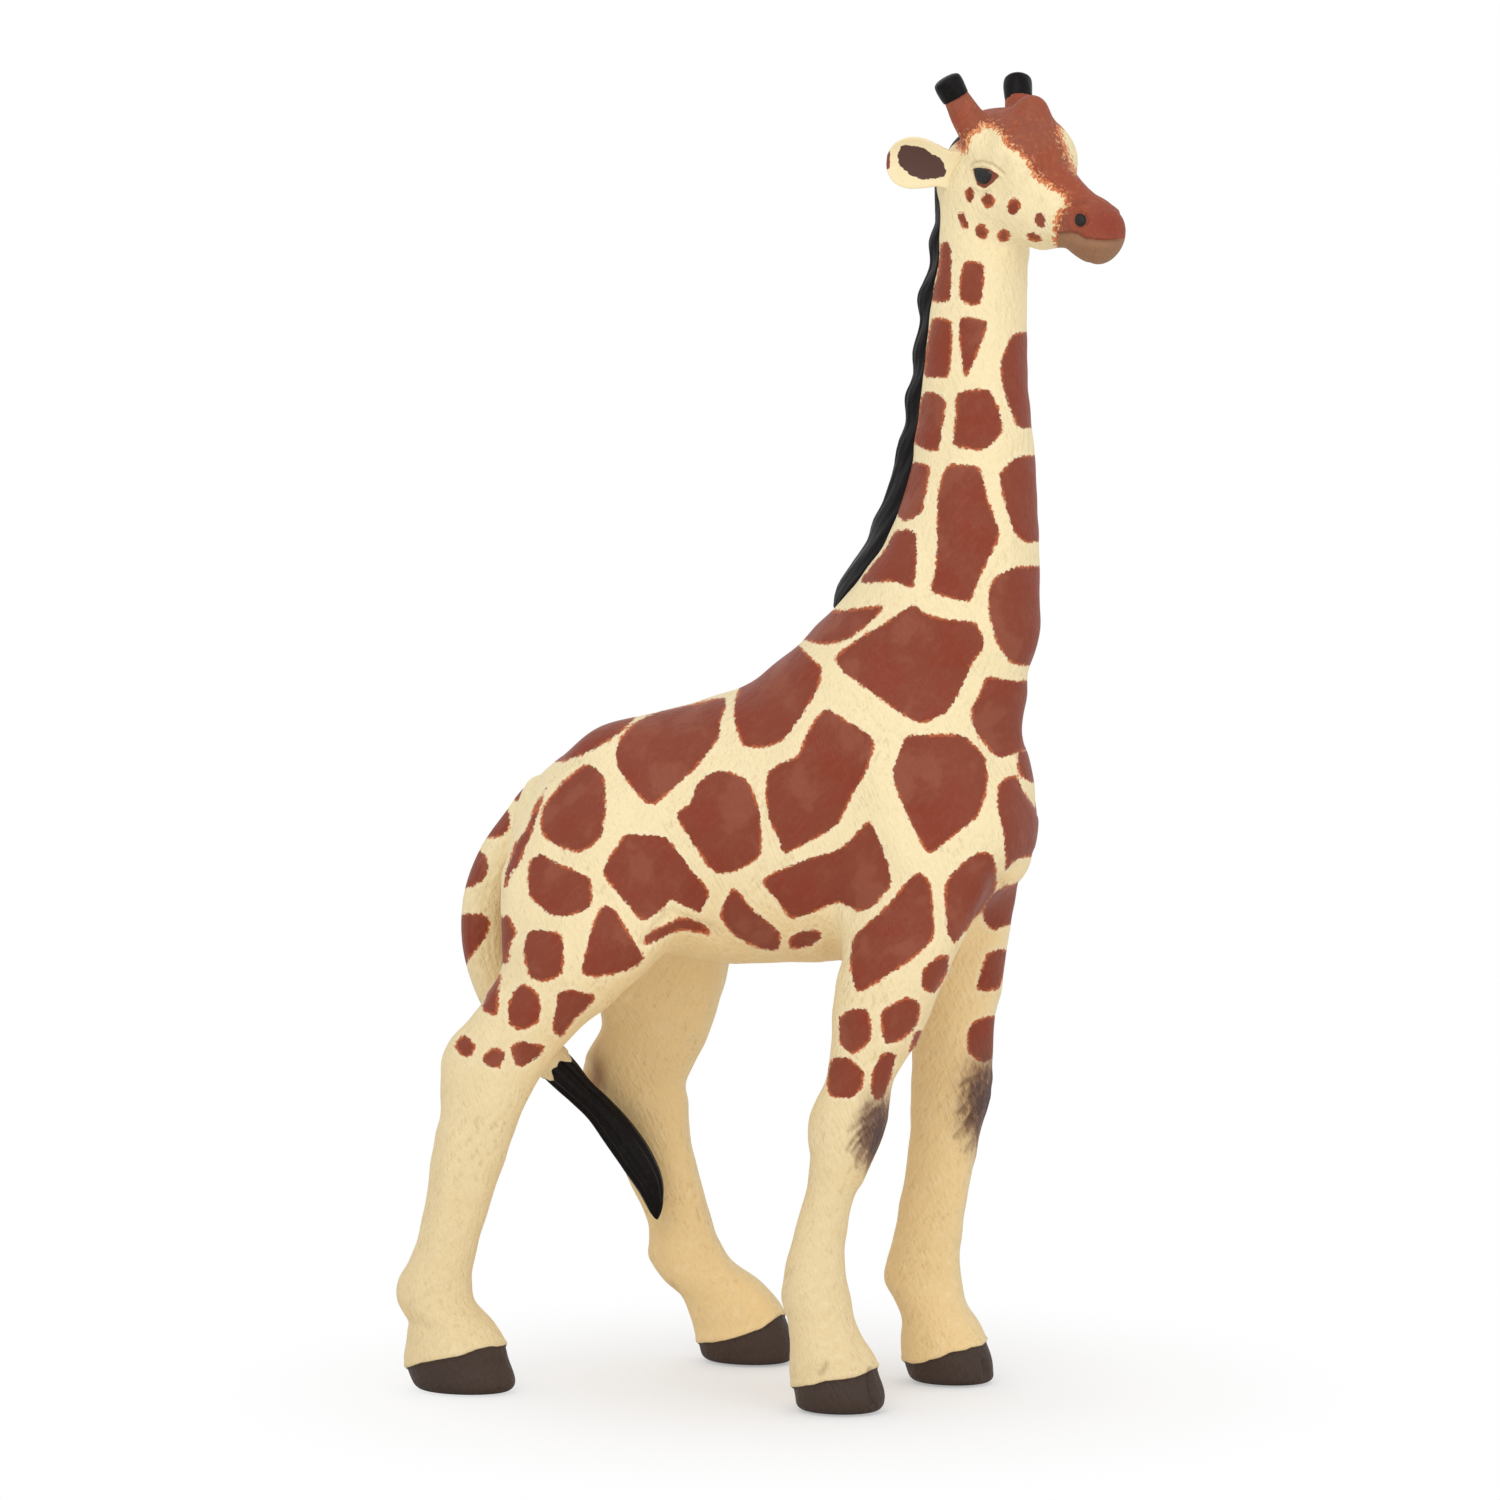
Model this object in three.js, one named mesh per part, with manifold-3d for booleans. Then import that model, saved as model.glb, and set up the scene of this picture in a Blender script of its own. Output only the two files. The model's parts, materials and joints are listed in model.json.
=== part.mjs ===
// Walking giraffe figure in painted soft vinyl, cast in thirteen pieces that plug together.
// Millimetres. x runs toward the chest, y toward the animal's left side and z up from the floor.
import * as THREE from "three";
import { mergeVertices } from "three/addons/utils/BufferGeometryUtils.js";
import Module from "manifold-3d";

const wasm = await Module();
wasm.setup();

// Legs: heights and strides follow the withers, and thickness has sizes of its own
const WITHERS_HEIGHT = 100;
const LEG_DEPTH = 10;
const LEG_WIDTH = 10;
const HOOF_HEIGHT = 6;
const TOE_CLEFT_WIDTH = 1.6;
const TOE_CLEFT_DEPTH = 0.7;
const SHOULDER_FORWARD = 20;
const SHOULDER_SPREAD = 9;
const HIP_BACK = 25;
const HIP_SPREAD = 7;

// Trunk, from the rump to the chest
const TRUNK_LENGTH = 75;
const TRUNK_DEPTH = 40;
const TRUNK_WIDTH = 28;
const TRUNK_CAP = 3.6;

// Neck
const NECK_LENGTH = 60;
const NECK_DEPTH = 12;
const NECK_WIDTH = 11.5;
const NECK_FORWARD = 25;

// Head, with its turn toward the animal's right, its nod and its tilt in degrees
const HEAD_LENGTH = 32;
const HEAD_DEPTH = 16;
const HEAD_WIDTH = 13;
const HEAD_TURN = -22;
const HEAD_NOD = 24;
const HEAD_TILT = 5;
const NOSE_ROUNDING = 2.6;

// Horns, ears, mane and tail
const HORN_TIP_LENGTH = 3.4;
const HORN_RADIUS = 1.85;
const EAR_LENGTH = 10.4;
const EAR_WIDTH = 6.8;
const EAR_THICKNESS = 1.6;
const MANE_PROUD = 2.6;
const MANE_WIDTH = 3.6;
const MANE_SET_DEPTH = 1.4;
const TAIL_LENGTH = 60;
const TAIL_WIDTH = 7.6;
const TAIL_THICKNESS = 5.4;

// Joints between the castings: the gap of a glued seam, the pegs and the room round them
const SEAM_GAP = 0.3;
const PEG_CLEARANCE = 0.3;
const LEG_PEG_RADIUS = 2.6;
const LEG_PEG_LENGTH = 5;
const NECK_PEG_RADIUS = 5;
const NECK_PEG_LENGTH = 8;
const HEAD_PEG_RADIUS = 2.6;
const HEAD_PEG_LENGTH = 5;
const HORN_PEG_RADIUS = 0.8;
const HORN_PEG_LENGTH = 2;
const PEG_SIDES = 16;

// How softly neighbouring muscles run into each other
const LIMB_BLEND = 5;
const NECK_BLEND = 7;
const FACE_BLEND = 2.5;

// Mesh fineness of each casting, its shortest edge, and one overrun for every cut
const TRUNK_CELL = 3.2;
const NECK_CELL = 2.7;
const HEAD_CELL = 1.6;
const LEG_CELL = 2.3;
const MANE_CELL = 1.4;
const TAIL_SIDES = 12;
const EAR_SIDES = 14;
const RELAX_ROUNDS = 2;
const SETTLE_ROUNDS = 3;
const SHORTEST_EDGE = 0.02;
const OVERRUN = 4;
const REACH = 200;

// Places that follow from the sizes
const LEG_SEAM_HEIGHT = 0.556 * WITHERS_HEIGHT;
const BELLY_HEIGHT = 0.57 * WITHERS_HEIGHT;
const NECK_FOOT = BELLY_HEIGHT + TRUNK_DEPTH;
const MIDDLE_FORWARD = 0.03 * TRUNK_LENGTH;

// A leg's form: height, stride forward and spread aside in withers' heights, then half depth and half width
const rightFrontLegShares = [
  [0.000, -0.094, 0.042, 0.60, 0.52],
  [0.020, -0.094, 0.042, 0.62, 0.53],
  [0.045, -0.100, 0.042, 0.61, 0.52],
  [0.068, -0.104, 0.042, 0.56, 0.51],
  [0.090, -0.112, 0.041, 0.48, 0.47],
  [0.116, -0.120, 0.040, 0.44, 0.43],
  [0.142, -0.127, 0.039, 0.45, 0.42],
  [0.168, -0.129, 0.038, 0.42, 0.40],
  [0.194, -0.128, 0.037, 0.38, 0.37],
  [0.221, -0.124, 0.036, 0.35, 0.35],
  [0.274, -0.112, 0.034, 0.32, 0.34],
  [0.300, -0.104, 0.033, 0.34, 0.36],
  [0.327, -0.095, 0.032, 0.40, 0.40],
  [0.353, -0.091, 0.031, 0.47, 0.43],
  [0.379, -0.087, 0.030, 0.51, 0.44],
  [0.406, -0.080, 0.029, 0.48, 0.44],
  [0.432, -0.071, 0.028, 0.45, 0.44],
  [0.459, -0.062, 0.026, 0.50, 0.46],
  [0.485, -0.053, 0.023, 0.57, 0.49],
  [0.538, -0.041, 0.018, 0.68, 0.54],
  [0.590, -0.025, 0.010, 0.74, 0.58],
  [0.660, -0.006, -0.004, 0.84, 0.58],
  [0.760, 0.014, -0.018, 0.90, 0.56],
  [0.860, -0.010, -0.032, 0.70, 0.44],
];
const leftFrontLegShares = [
  [0.000, -0.016, 0.034, 0.60, 0.52],
  [0.028, -0.021, 0.034, 0.62, 0.53],
  [0.055, -0.027, 0.034, 0.59, 0.51],
  [0.082, -0.033, 0.034, 0.51, 0.47],
  [0.108, -0.047, 0.034, 0.48, 0.44],
  [0.134, -0.057, 0.034, 0.52, 0.43],
  [0.162, -0.056, 0.033, 0.49, 0.41],
  [0.189, -0.051, 0.032, 0.46, 0.39],
  [0.243, -0.041, 0.030, 0.45, 0.38],
  [0.297, -0.031, 0.028, 0.45, 0.39],
  [0.351, -0.022, 0.026, 0.48, 0.42],
  [0.405, -0.014, 0.024, 0.54, 0.44],
  [0.432, -0.013, 0.023, 0.54, 0.44],
  [0.485, -0.012, 0.021, 0.56, 0.48],
  [0.538, -0.009, 0.017, 0.64, 0.54],
  [0.590, -0.008, 0.010, 0.72, 0.58],
  [0.660, 0.000, -0.004, 0.80, 0.58],
  [0.760, 0.014, -0.018, 0.88, 0.56],
  [0.860, -0.010, -0.032, 0.70, 0.44],
];
const rightHindLegShares = [
  [0.000, -0.162, 0.072, 0.70, 0.54],
  [0.013, -0.164, 0.072, 0.73, 0.55],
  [0.039, -0.172, 0.072, 0.73, 0.55],
  [0.066, -0.174, 0.072, 0.67, 0.52],
  [0.092, -0.182, 0.072, 0.58, 0.48],
  [0.118, -0.202, 0.072, 0.52, 0.45],
  [0.145, -0.203, 0.072, 0.49, 0.43],
  [0.172, -0.194, 0.071, 0.44, 0.40],
  [0.199, -0.186, 0.070, 0.42, 0.38],
  [0.253, -0.172, 0.068, 0.44, 0.37],
  [0.307, -0.159, 0.065, 0.50, 0.39],
  [0.361, -0.144, 0.062, 0.54, 0.41],
  [0.415, -0.131, 0.059, 0.67, 0.43],
  [0.442, -0.121, 0.057, 0.76, 0.45],
  [0.469, -0.103, 0.054, 0.80, 0.48],
  [0.496, -0.077, 0.050, 0.81, 0.52],
  [0.551, -0.026, 0.042, 0.89, 0.60],
  [0.600, -0.004, 0.034, 1.10, 0.66],
  [0.680, 0.000, 0.016, 1.22, 0.66],
  [0.760, 0.010, 0.002, 1.06, 0.60],
  [0.830, 0.030, -0.020, 0.66, 0.44],
];
const leftHindLegShares = [
  [0.000, 0.124, 0.124, 0.66, 0.52],
  [0.030, 0.120, 0.124, 0.69, 0.53],
  [0.057, 0.112, 0.123, 0.68, 0.51],
  [0.084, 0.099, 0.121, 0.67, 0.48],
  [0.110, 0.073, 0.118, 0.68, 0.46],
  [0.137, 0.044, 0.115, 0.58, 0.43],
  [0.164, 0.036, 0.112, 0.48, 0.41],
  [0.191, 0.030, 0.110, 0.44, 0.39],
  [0.245, 0.011, 0.103, 0.50, 0.39],
  [0.299, -0.006, 0.095, 0.56, 0.40],
  [0.354, -0.018, 0.087, 0.67, 0.42],
  [0.381, -0.025, 0.083, 0.72, 0.44],
  [0.409, -0.017, 0.079, 0.77, 0.47],
  [0.464, 0.014, 0.067, 0.75, 0.53],
  [0.520, 0.016, 0.053, 0.93, 0.60],
  [0.570, 0.018, 0.042, 1.02, 0.66],
  [0.640, 0.008, 0.024, 1.16, 0.66],
  [0.720, 0.008, 0.006, 1.12, 0.62],
  [0.820, 0.030, -0.018, 0.72, 0.46],
];

// The trunk's form: place along it, then height of its middle, half width and half depth
const trunkShares = [
  [-0.470, 0.400, 0.22, 0.20],
  [-0.430, 0.405, 0.31, 0.26],
  [-0.360, 0.410, 0.39, 0.315],
  [-0.250, 0.420, 0.45, 0.395],
  [-0.120, 0.440, 0.48, 0.450],
  [0.000, 0.480, 0.49, 0.480],
  [0.107, 0.515, 0.48, 0.505],
  [0.200, 0.545, 0.45, 0.500],
  [0.280, 0.530, 0.39, 0.425],
  [0.335, 0.480, 0.32, 0.320],
  [0.396, 0.455, 0.23, 0.210],
];

// The neck's form: height above its foot, place forward, half depth and half width
const neckShares = [
  [-0.180, -0.480, 1.42, 0.96],
  [-0.083, -0.405, 1.39, 0.97],
  [-0.017, -0.378, 1.37, 0.95],
  [0.067, -0.268, 1.26, 0.90],
  [0.150, -0.178, 1.06, 0.85],
  [0.267, -0.078, 0.85, 0.77],
  [0.355, -0.036, 0.74, 0.70],
  [0.442, -0.014, 0.67, 0.64],
  [0.617, -0.006, 0.57, 0.56],
  [0.783, 0.010, 0.52, 0.50],
  [0.883, 0.030, 0.49, 0.48],
  [1.000, 0.046, 0.48, 0.48],
];

// The head's form along its own axis, nose positive: place, height of its middle, half width and half depth
const headShares = [
  [-0.160, -0.080, 0.36, 0.31],
  [-0.095, -0.040, 0.44, 0.40],
  [0.000, 0.010, 0.49, 0.47],
  [0.125, 0.050, 0.49, 0.51],
  [0.250, 0.020, 0.43, 0.46],
  [0.365, -0.015, 0.34, 0.37],
  [0.437, -0.020, 0.30, 0.32],
  [0.525, -0.025, 0.28, 0.265],
  [0.600, -0.035, 0.30, 0.265],
  [0.640, -0.045, 0.29, 0.245],
];
const browPlaceShares = [0.19, 0.34, 0.28];
const browSizeShares = [0.12, 0.17, 0.19];
const foreheadPlaceShares = [0.14, 0.0, 0.40];
const foreheadSizeShares = [0.16, 0.42, 0.19];
const hornRootPlaceShares = [0.05, 0.28, 0.32];
const hornSeamPlaceShares = [-0.105, 0.46, 0.545];
const hornRootShare = 1.75;
const hornSeatShare = 1.6;
const hornSeamShare = 1.02;
const hornTipShares = [
  [0.00, 0.00],
  [1.00, 0.00],
  [1.04, 0.30],
  [1.02, 0.62],
  [0.86, 0.86],
  [0.50, 0.98],
  [0.00, 1.00],
];
const earRootPlaceShares = [-0.04, 0.30, -0.015];
const earDirectionShares = [-0.60, 0.80, 0.00];
const earLeafShares = [
  [0.00, 0.20, 1.00],
  [0.18, 0.23, 1.00],
  [0.32, 0.34, 0.90],
  [0.48, 0.46, 0.75],
  [0.66, 0.52, 0.62],
  [0.82, 0.48, 0.55],
  [0.93, 0.35, 0.50],
  [0.98, 0.20, 0.40],
];
const earCupShare = 0.3;

// The mane's back edge follows the neck: height above the neck's foot, and how far it stands proud
const manePlaceShares = [
  [0.110, 0.40],
  [0.170, 0.95],
  [0.240, 0.90],
  [0.310, 1.05],
  [0.380, 0.85],
  [0.450, 0.95],
  [0.520, 0.65],
  [0.590, 0.80],
  [0.660, 0.50],
  [0.730, 0.65],
  [0.800, 0.40],
  [0.870, 0.50],
  [0.950, 0.25],
  [1.030, 0.20],
  [1.100, 0.10],
];
const maneSwellShare = 0.62;

// The tail hangs from the rump: back, aside and drop in tail lengths, then width and thickness
const tailShares = [
  [0.000, 0.000, 0.000, 0.34, 0.36],
  [0.080, 0.000, 0.029, 0.46, 0.62],
  [0.145, 0.000, 0.093, 0.50, 0.58],
  [0.200, 0.003, 0.175, 0.53, 0.58],
  [0.235, 0.010, 0.270, 0.52, 0.57],
  [0.242, 0.027, 0.383, 0.48, 0.54],
  [0.210, 0.057, 0.500, 0.42, 0.50],
  [0.140, 0.087, 0.600, 0.38, 0.52],
  [0.070, 0.110, 0.662, 0.34, 0.50],
  [0.022, 0.127, 0.706, 0.34, 0.50],
  [-0.020, 0.142, 0.760, 0.36, 0.52],
  [-0.062, 0.152, 0.833, 0.36, 0.52],
  [-0.098, 0.157, 0.908, 0.27, 0.42],
  [-0.130, 0.160, 0.973, 0.10, 0.14],
];
const tailRootShares = [-0.40, 0.575];

// How a grid point finds the skin: its probe as a share of a cell, the least slope it trusts, and tall cells
const probeShare = 0.025;
const leastSlopeShare = 0.5;
const tallCellShare = 1.3;

// Colours and roughness of the paint
const CREAM = 0xf0dfb0;
const BLACK = 0x2b2726;
const PAINT_ROUGHNESS = 0.5;
const BLACK_ROUGHNESS = 0.35;

// Reads a table smoothly: its first column is the place, the others are the values there
function smoothReader(rows) {
  const last = rows.length - 1;
  const slopes = rows.map((row, i) => {
    const before = rows[Math.max(i - 1, 0)];
    const after = rows[Math.min(i + 1, last)];
    return row.map((_, k) => (after[k] - before[k]) / (after[0] - before[0]));
  });
  return (place) => {
    const at = Math.min(Math.max(place, rows[0][0]), rows[last][0]);
    let i = 0;
    while (i < last - 1 && at > rows[i + 1][0]) i += 1;
    const span = rows[i + 1][0] - rows[i][0];
    const t = (at - rows[i][0]) / span;
    const fall = 2 * t ** 3 - 3 * t ** 2 + 1;
    const leave = t ** 3 - 2 * t ** 2 + t;
    const arrive = t ** 3 - t ** 2;
    return rows[i].map((value, k) =>
      fall * value + (1 - fall) * rows[i + 1][k] + span * (leave * slopes[i][k] + arrive * slopes[i + 1][k]));
  };
}

// Depth outside (positive) or inside (negative) an ellipsoid of half sizes a, b, c
function ellipsoidDepth(x, y, z, a, b, c) {
  const size = Math.hypot(x / a, y / b, z / c);
  const slope = Math.hypot(x / a ** 2, y / b ** 2, z / c ** 2) + Number.EPSILON;
  return size * (size - 1) / slope;
}

// Smooth union: where two forms lie within the given distance they run into each other
function blend(a, b, distance) {
  const near = Math.max(distance - Math.abs(a - b), 0) / distance;
  return Math.min(a, b) - near * near * distance / 4;
}

// A leg or neck, read by height
function uprightForm(rows, cap) {
  const read = smoothReader(rows);
  const low = rows[0][0];
  const high = rows[rows.length - 1][0];
  return (p) => {
    const [, forward, aside, halfDepth, halfWidth] = read(p.z);
    const over = p.z - Math.min(Math.max(p.z, low), high);
    return ellipsoidDepth(p.x - forward, p.y - aside, over, halfDepth, halfWidth, cap);
  };
}

// A trunk or head, read along its length
function lengthwiseForm(rows, cap) {
  const read = smoothReader(rows);
  const low = rows[0][0];
  const high = rows[rows.length - 1][0];
  return (p) => {
    const [, middle, halfWidth, halfDepth] = read(p.x);
    const over = p.x - Math.min(Math.max(p.x, low), high);
    return ellipsoidDepth(over, p.y, p.z - middle, cap, halfWidth, halfDepth);
  };
}

// A cone with round ends
function coneForm(from, to, fromRadius, toRadius) {
  const along = to.clone().sub(from);
  return (p) => {
    const offset = p.clone().sub(from);
    const t = Math.min(Math.max(offset.dot(along) / along.lengthSq(), 0), 1);
    return offset.addScaledVector(along, -t).length() - (fromRadius + (toRadius - fromRadius) * t);
  };
}

function legRows(shares, top, side) {
  return shares.map(([height, forward, aside, halfDepth, halfWidth]) => [
    height * WITHERS_HEIGHT,
    top.x + forward * WITHERS_HEIGHT,
    side * (top.y + aside * WITHERS_HEIGHT),
    halfDepth * LEG_DEPTH,
    halfWidth * LEG_WIDTH,
  ]);
}

const shoulder = new THREE.Vector2(SHOULDER_FORWARD, SHOULDER_SPREAD);
const hip = new THREE.Vector2(-HIP_BACK, HIP_SPREAD);
const legs = [
  { name: "right_front_leg", front: true, side: -1, rows: legRows(rightFrontLegShares, shoulder, -1) },
  { name: "left_front_leg", front: true, side: 1, rows: legRows(leftFrontLegShares, shoulder, 1) },
  { name: "right_hind_leg", front: false, side: -1, rows: legRows(rightHindLegShares, hip, -1) },
  { name: "left_hind_leg", front: false, side: 1, rows: legRows(leftHindLegShares, hip, 1) },
];
const legForms = legs.map(({ rows }) => uprightForm(rows, LEG_WIDTH / 2));

const trunkForm = lengthwiseForm(
  trunkShares.map(([along, height, halfWidth, halfDepth]) => [
    along * TRUNK_LENGTH,
    BELLY_HEIGHT + height * TRUNK_DEPTH,
    halfWidth * TRUNK_WIDTH,
    halfDepth * TRUNK_DEPTH,
  ]),
  TRUNK_CAP,
);

const neckRows = neckShares.map(([height, forward, halfDepth, halfWidth]) => [
  NECK_FOOT + height * NECK_LENGTH,
  NECK_FORWARD * (1 + forward),
  0,
  halfDepth * NECK_DEPTH,
  halfWidth * NECK_WIDTH,
]);
const neckForm = uprightForm(neckRows, NECK_DEPTH / 2);
const readNeck = smoothReader(neckRows);

// The head's own frame: x toward the nose, y to its left, z toward the crown
const headPlace = new THREE.Vector3(
  1.08 * NECK_FORWARD,
  -0.024 * NECK_FORWARD,
  NECK_FOOT + 1.067 * NECK_LENGTH,
);
const headTurn = new THREE.Euler(
  THREE.MathUtils.degToRad(HEAD_TILT),
  THREE.MathUtils.degToRad(HEAD_NOD),
  THREE.MathUtils.degToRad(HEAD_TURN),
  "ZYX",
);
const headFrame = new THREE.Matrix4().makeRotationFromEuler(headTurn).setPosition(headPlace);
const intoHead = headFrame.clone().invert();

// A place in the head's frame from shares of its sizes, on its left (1) or right (-1) side
function headPoint([along, aside, up], side) {
  return new THREE.Vector3(along * HEAD_LENGTH, side * aside * HEAD_WIDTH, up * HEAD_DEPTH);
}

function hornAxis(side) {
  const root = headPoint(hornRootPlaceShares, side);
  const seam = headPoint(hornSeamPlaceShares, side);
  return { root, seam, way: seam.clone().sub(root).normalize() };
}

const skullForm = lengthwiseForm(
  headShares.map(([along, height, halfWidth, halfDepth]) => [
    along * HEAD_LENGTH,
    height * HEAD_DEPTH,
    halfWidth * HEAD_WIDTH,
    halfDepth * HEAD_DEPTH,
  ]),
  NOSE_ROUNDING,
);
const hornForms = [-1, 1].map((side) => {
  const { root, seam, way } = hornAxis(side);
  const end = seam.clone().addScaledVector(way, HORN_RADIUS);
  return coneForm(root, end, hornRootShare * HORN_RADIUS, hornSeamShare * HORN_RADIUS);
});

function moundDepth(p, placeShares, sizeShares, side) {
  const middle = headPoint(placeShares, side);
  const [length, width, depth] = sizeShares;
  return ellipsoidDepth(p.x - middle.x, p.y - middle.y, p.z - middle.z,
    length * HEAD_LENGTH, width * HEAD_WIDTH, depth * HEAD_DEPTH);
}

function headForm(point) {
  const p = point.clone().applyMatrix4(intoHead);
  let depth = skullForm(p);
  depth = blend(depth, moundDepth(p, foreheadPlaceShares, foreheadSizeShares, 1), FACE_BLEND);
  for (const side of [-1, 1]) {
    depth = blend(depth, moundDepth(p, browPlaceShares, browSizeShares, side), FACE_BLEND);
  }
  for (const horn of hornForms) depth = blend(depth, horn(p), FACE_BLEND);
  return depth;
}

// The whole animal without ears, horn tips, mane and tail
function figureForm(p) {
  let depth = blend(trunkForm(p), neckForm(p), NECK_BLEND);
  for (const leg of legForms) depth = blend(depth, leg(p), LIMB_BLEND);
  return blend(depth, headForm(p), FACE_BLEND);
}

// The steps from a grid corner to its next neighbours
const steps = [[1, 0, 0], [0, 1, 0], [0, 0, 1]];

function* gridCorners(count) {
  for (let i = 0; i < count[0]; i += 1) {
    for (let j = 0; j < count[1]; j += 1) {
      for (let k = 0; k < count[2]; k += 1) yield [i, j, k];
    }
  }
}

// The corners of the grid face at one corner, s and t steps along its two directions
function faceCorners([i, j, k], axis, sign) {
  const a = steps[(axis + 1) % 3];
  const b = steps[(axis + 2) % 3];
  return [[0, 0], [1, 0], [1, 1], [0, 1]].map(([s, t]) =>
    [0, 1, 2].map((n) => [i, j, k][n] + sign * (s * a[n] + t * b[n])));
}

// Where only two diagonal corners of a grid face lie inside, fills in a third: no two walls share a mere edge
function fillPinches(depths, count, indexOf) {
  const faces = [...gridCorners(count.map((n) => n - 1))].flatMap((corner) =>
    [0, 1, 2].map((axis) => faceCorners(corner, axis, 1).map(indexOf)));
  let changed = true;
  while (changed) {
    changed = false;
    for (const face of faces) {
      const [p, q, r, s] = face.map((index) => depths[index] < 0);
      if (p === q || p !== r || q !== s) continue;
      const outside = p ? [face[1], face[3]] : [face[0], face[2]];
      const nearest = depths[outside[0]] < depths[outside[1]] ? outside[0] : outside[1];
      depths[nearest] = -SHORTEST_EDGE;
      changed = true;
    }
  }
}

// Points of the form's skin: one in each grid cell that the skin crosses, joined across each crossed edge
function skinGeometry(form, box, cell) {
  const size = box.getSize(new THREE.Vector3());
  const count = size.toArray().map((length, k) => Math.ceil(length / cell[k]) + 2);
  const origin = box.min.toArray().map((low, k) => low - cell[k] / 2);
  const closed = (p) => {
    const before = box.min.clone().sub(p);
    const past = p.clone().sub(box.max);
    return Math.max(form(p), ...before.toArray(), ...past.toArray());
  };
  const indexOf = ([i, j, k]) => (i * count[1] + j) * count[2] + k;
  const pointAt = (corner) => new THREE.Vector3(...corner.map((n, k) => origin[k] + n * cell[k]));
  const depths = Float64Array.from(gridCorners(count), (corner) => closed(pointAt(corner)));
  fillPinches(depths, count, indexOf);
  const cells = new Map();
  const quads = [];
  const addTo = (corner, crossing) => {
    const key = indexOf(corner);
    if (!cells.has(key)) cells.set(key, { id: cells.size, sum: new THREE.Vector3(), hits: 0 });
    const entry = cells.get(key);
    entry.sum.add(crossing);
    entry.hits += 1;
    return entry.id;
  };
  for (const corner of gridCorners(count.map((n) => n - 1))) {
    steps.forEach((step, axis) => {
      const next = corner.map((n, k) => n + step[k]);
      const here = depths[indexOf(corner)];
      const there = depths[indexOf(next)];
      if ((here < 0) === (there < 0)) return;
      const crossing = pointAt(corner).lerp(pointAt(next), here / (here - there));
      const ring = faceCorners(corner, axis, -1).map((around) => addTo(around, crossing));
      quads.push(here < 0 ? ring : ring.reverse());
    });
  }
  const points = [...cells.values()].map(({ sum, hits }) => sum.divideScalar(hits));
  points.forEach((p) => settleOnSkin(p, closed, cell));
  for (let round = 0; round < RELAX_ROUNDS; round += 1) {
    evenOut(points, quads);
    points.forEach((p) => settleOnSkin(p, closed, cell));
  }
  const triangles = quads.flatMap(([a, b, c, d]) => {
    const short = points[a].distanceTo(points[c]) <= points[b].distanceTo(points[d]);
    return short ? [a, b, c, a, c, d] : [a, b, d, b, c, d];
  });
  const geometry = new THREE.BufferGeometry().setFromPoints(points);
  geometry.setIndex(triangles);
  return geometry;
}

// Moves each point to the middle of its neighbours, so that the mesh is even
function evenOut(points, quads) {
  const sums = points.map(() => ({ sum: new THREE.Vector3(), hits: 0 }));
  for (const quad of quads) {
    quad.forEach((id, corner) => {
      sums[id].sum.add(points[quad[(corner + 1) % 4]]);
      sums[id].hits += 1;
    });
  }
  points.forEach((p, id) => p.copy(sums[id].sum.divideScalar(sums[id].hits)));
}

// Slides a point down the slope of the form until it lies on the skin
function settleOnSkin(p, form, cell) {
  const reach = Math.min(...cell);
  const probe = probeShare * reach;
  for (let round = 0; round < SETTLE_ROUNDS; round += 1) {
    const depth = form(p);
    const slope = new THREE.Vector3(
      form(p.clone().setX(p.x + probe)) - depth,
      form(p.clone().setY(p.y + probe)) - depth,
      form(p.clone().setZ(p.z + probe)) - depth,
    ).divideScalar(probe);
    const steep = Math.max(slope.lengthSq(), leastSlopeShare ** 2);
    const move = slope.multiplyScalar(-depth / steep);
    p.add(move.clampLength(0, reach / 2));
  }
}

// Turns a geometry into a solid that can be joined and cut, and back
function solidOf(geometry, placed = new THREE.Matrix4()) {
  const bare = new THREE.BufferGeometry();
  bare.setAttribute("position", geometry.getAttribute("position").clone());
  bare.setIndex(geometry.getIndex());
  const whole = mergeVertices(bare.applyMatrix4(placed), SEAM_GAP / 1000);
  return new wasm.Manifold(new wasm.Mesh({
    numProp: 3,
    vertProperties: new Float32Array(whole.getAttribute("position").array),
    triVerts: new Uint32Array(whole.getIndex().array),
  }));
}

// Draws the two ends of each edge too short to matter together, where only the two faces beside it vanish
function withoutShortEdges(points, faces) {
  const facesAt = points.map(() => new Set());
  faces.forEach((face) => face.forEach((id) => facesAt[id].add(face)));
  const around = (id) => new Set([...facesAt[id]].flat());
  const drawTogether = (kept, lost) => {
    points[kept].add(points[lost]).divideScalar(2);
    for (const face of [...facesAt[lost]]) {
      if (face.includes(kept)) face.forEach((id) => facesAt[id].delete(face));
      else {
        face[face.indexOf(lost)] = kept;
        facesAt[kept].add(face);
      }
    }
    facesAt[lost].clear();
  };
  let changed = true;
  while (changed) {
    changed = false;
    points.forEach((point, id) => {
      const ring = around(id);
      const near = [...ring].find((other) => other !== id && point.distanceTo(points[other]) < SHORTEST_EDGE);
      if (near === undefined) return;
      const shared = [...around(near)].filter((other) => ring.has(other));
      if (shared.length !== 4) return;
      drawTogether(id, near);
      changed = true;
    });
  }
  return faces.filter((face) => facesAt[face[0]].has(face));
}

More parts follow.
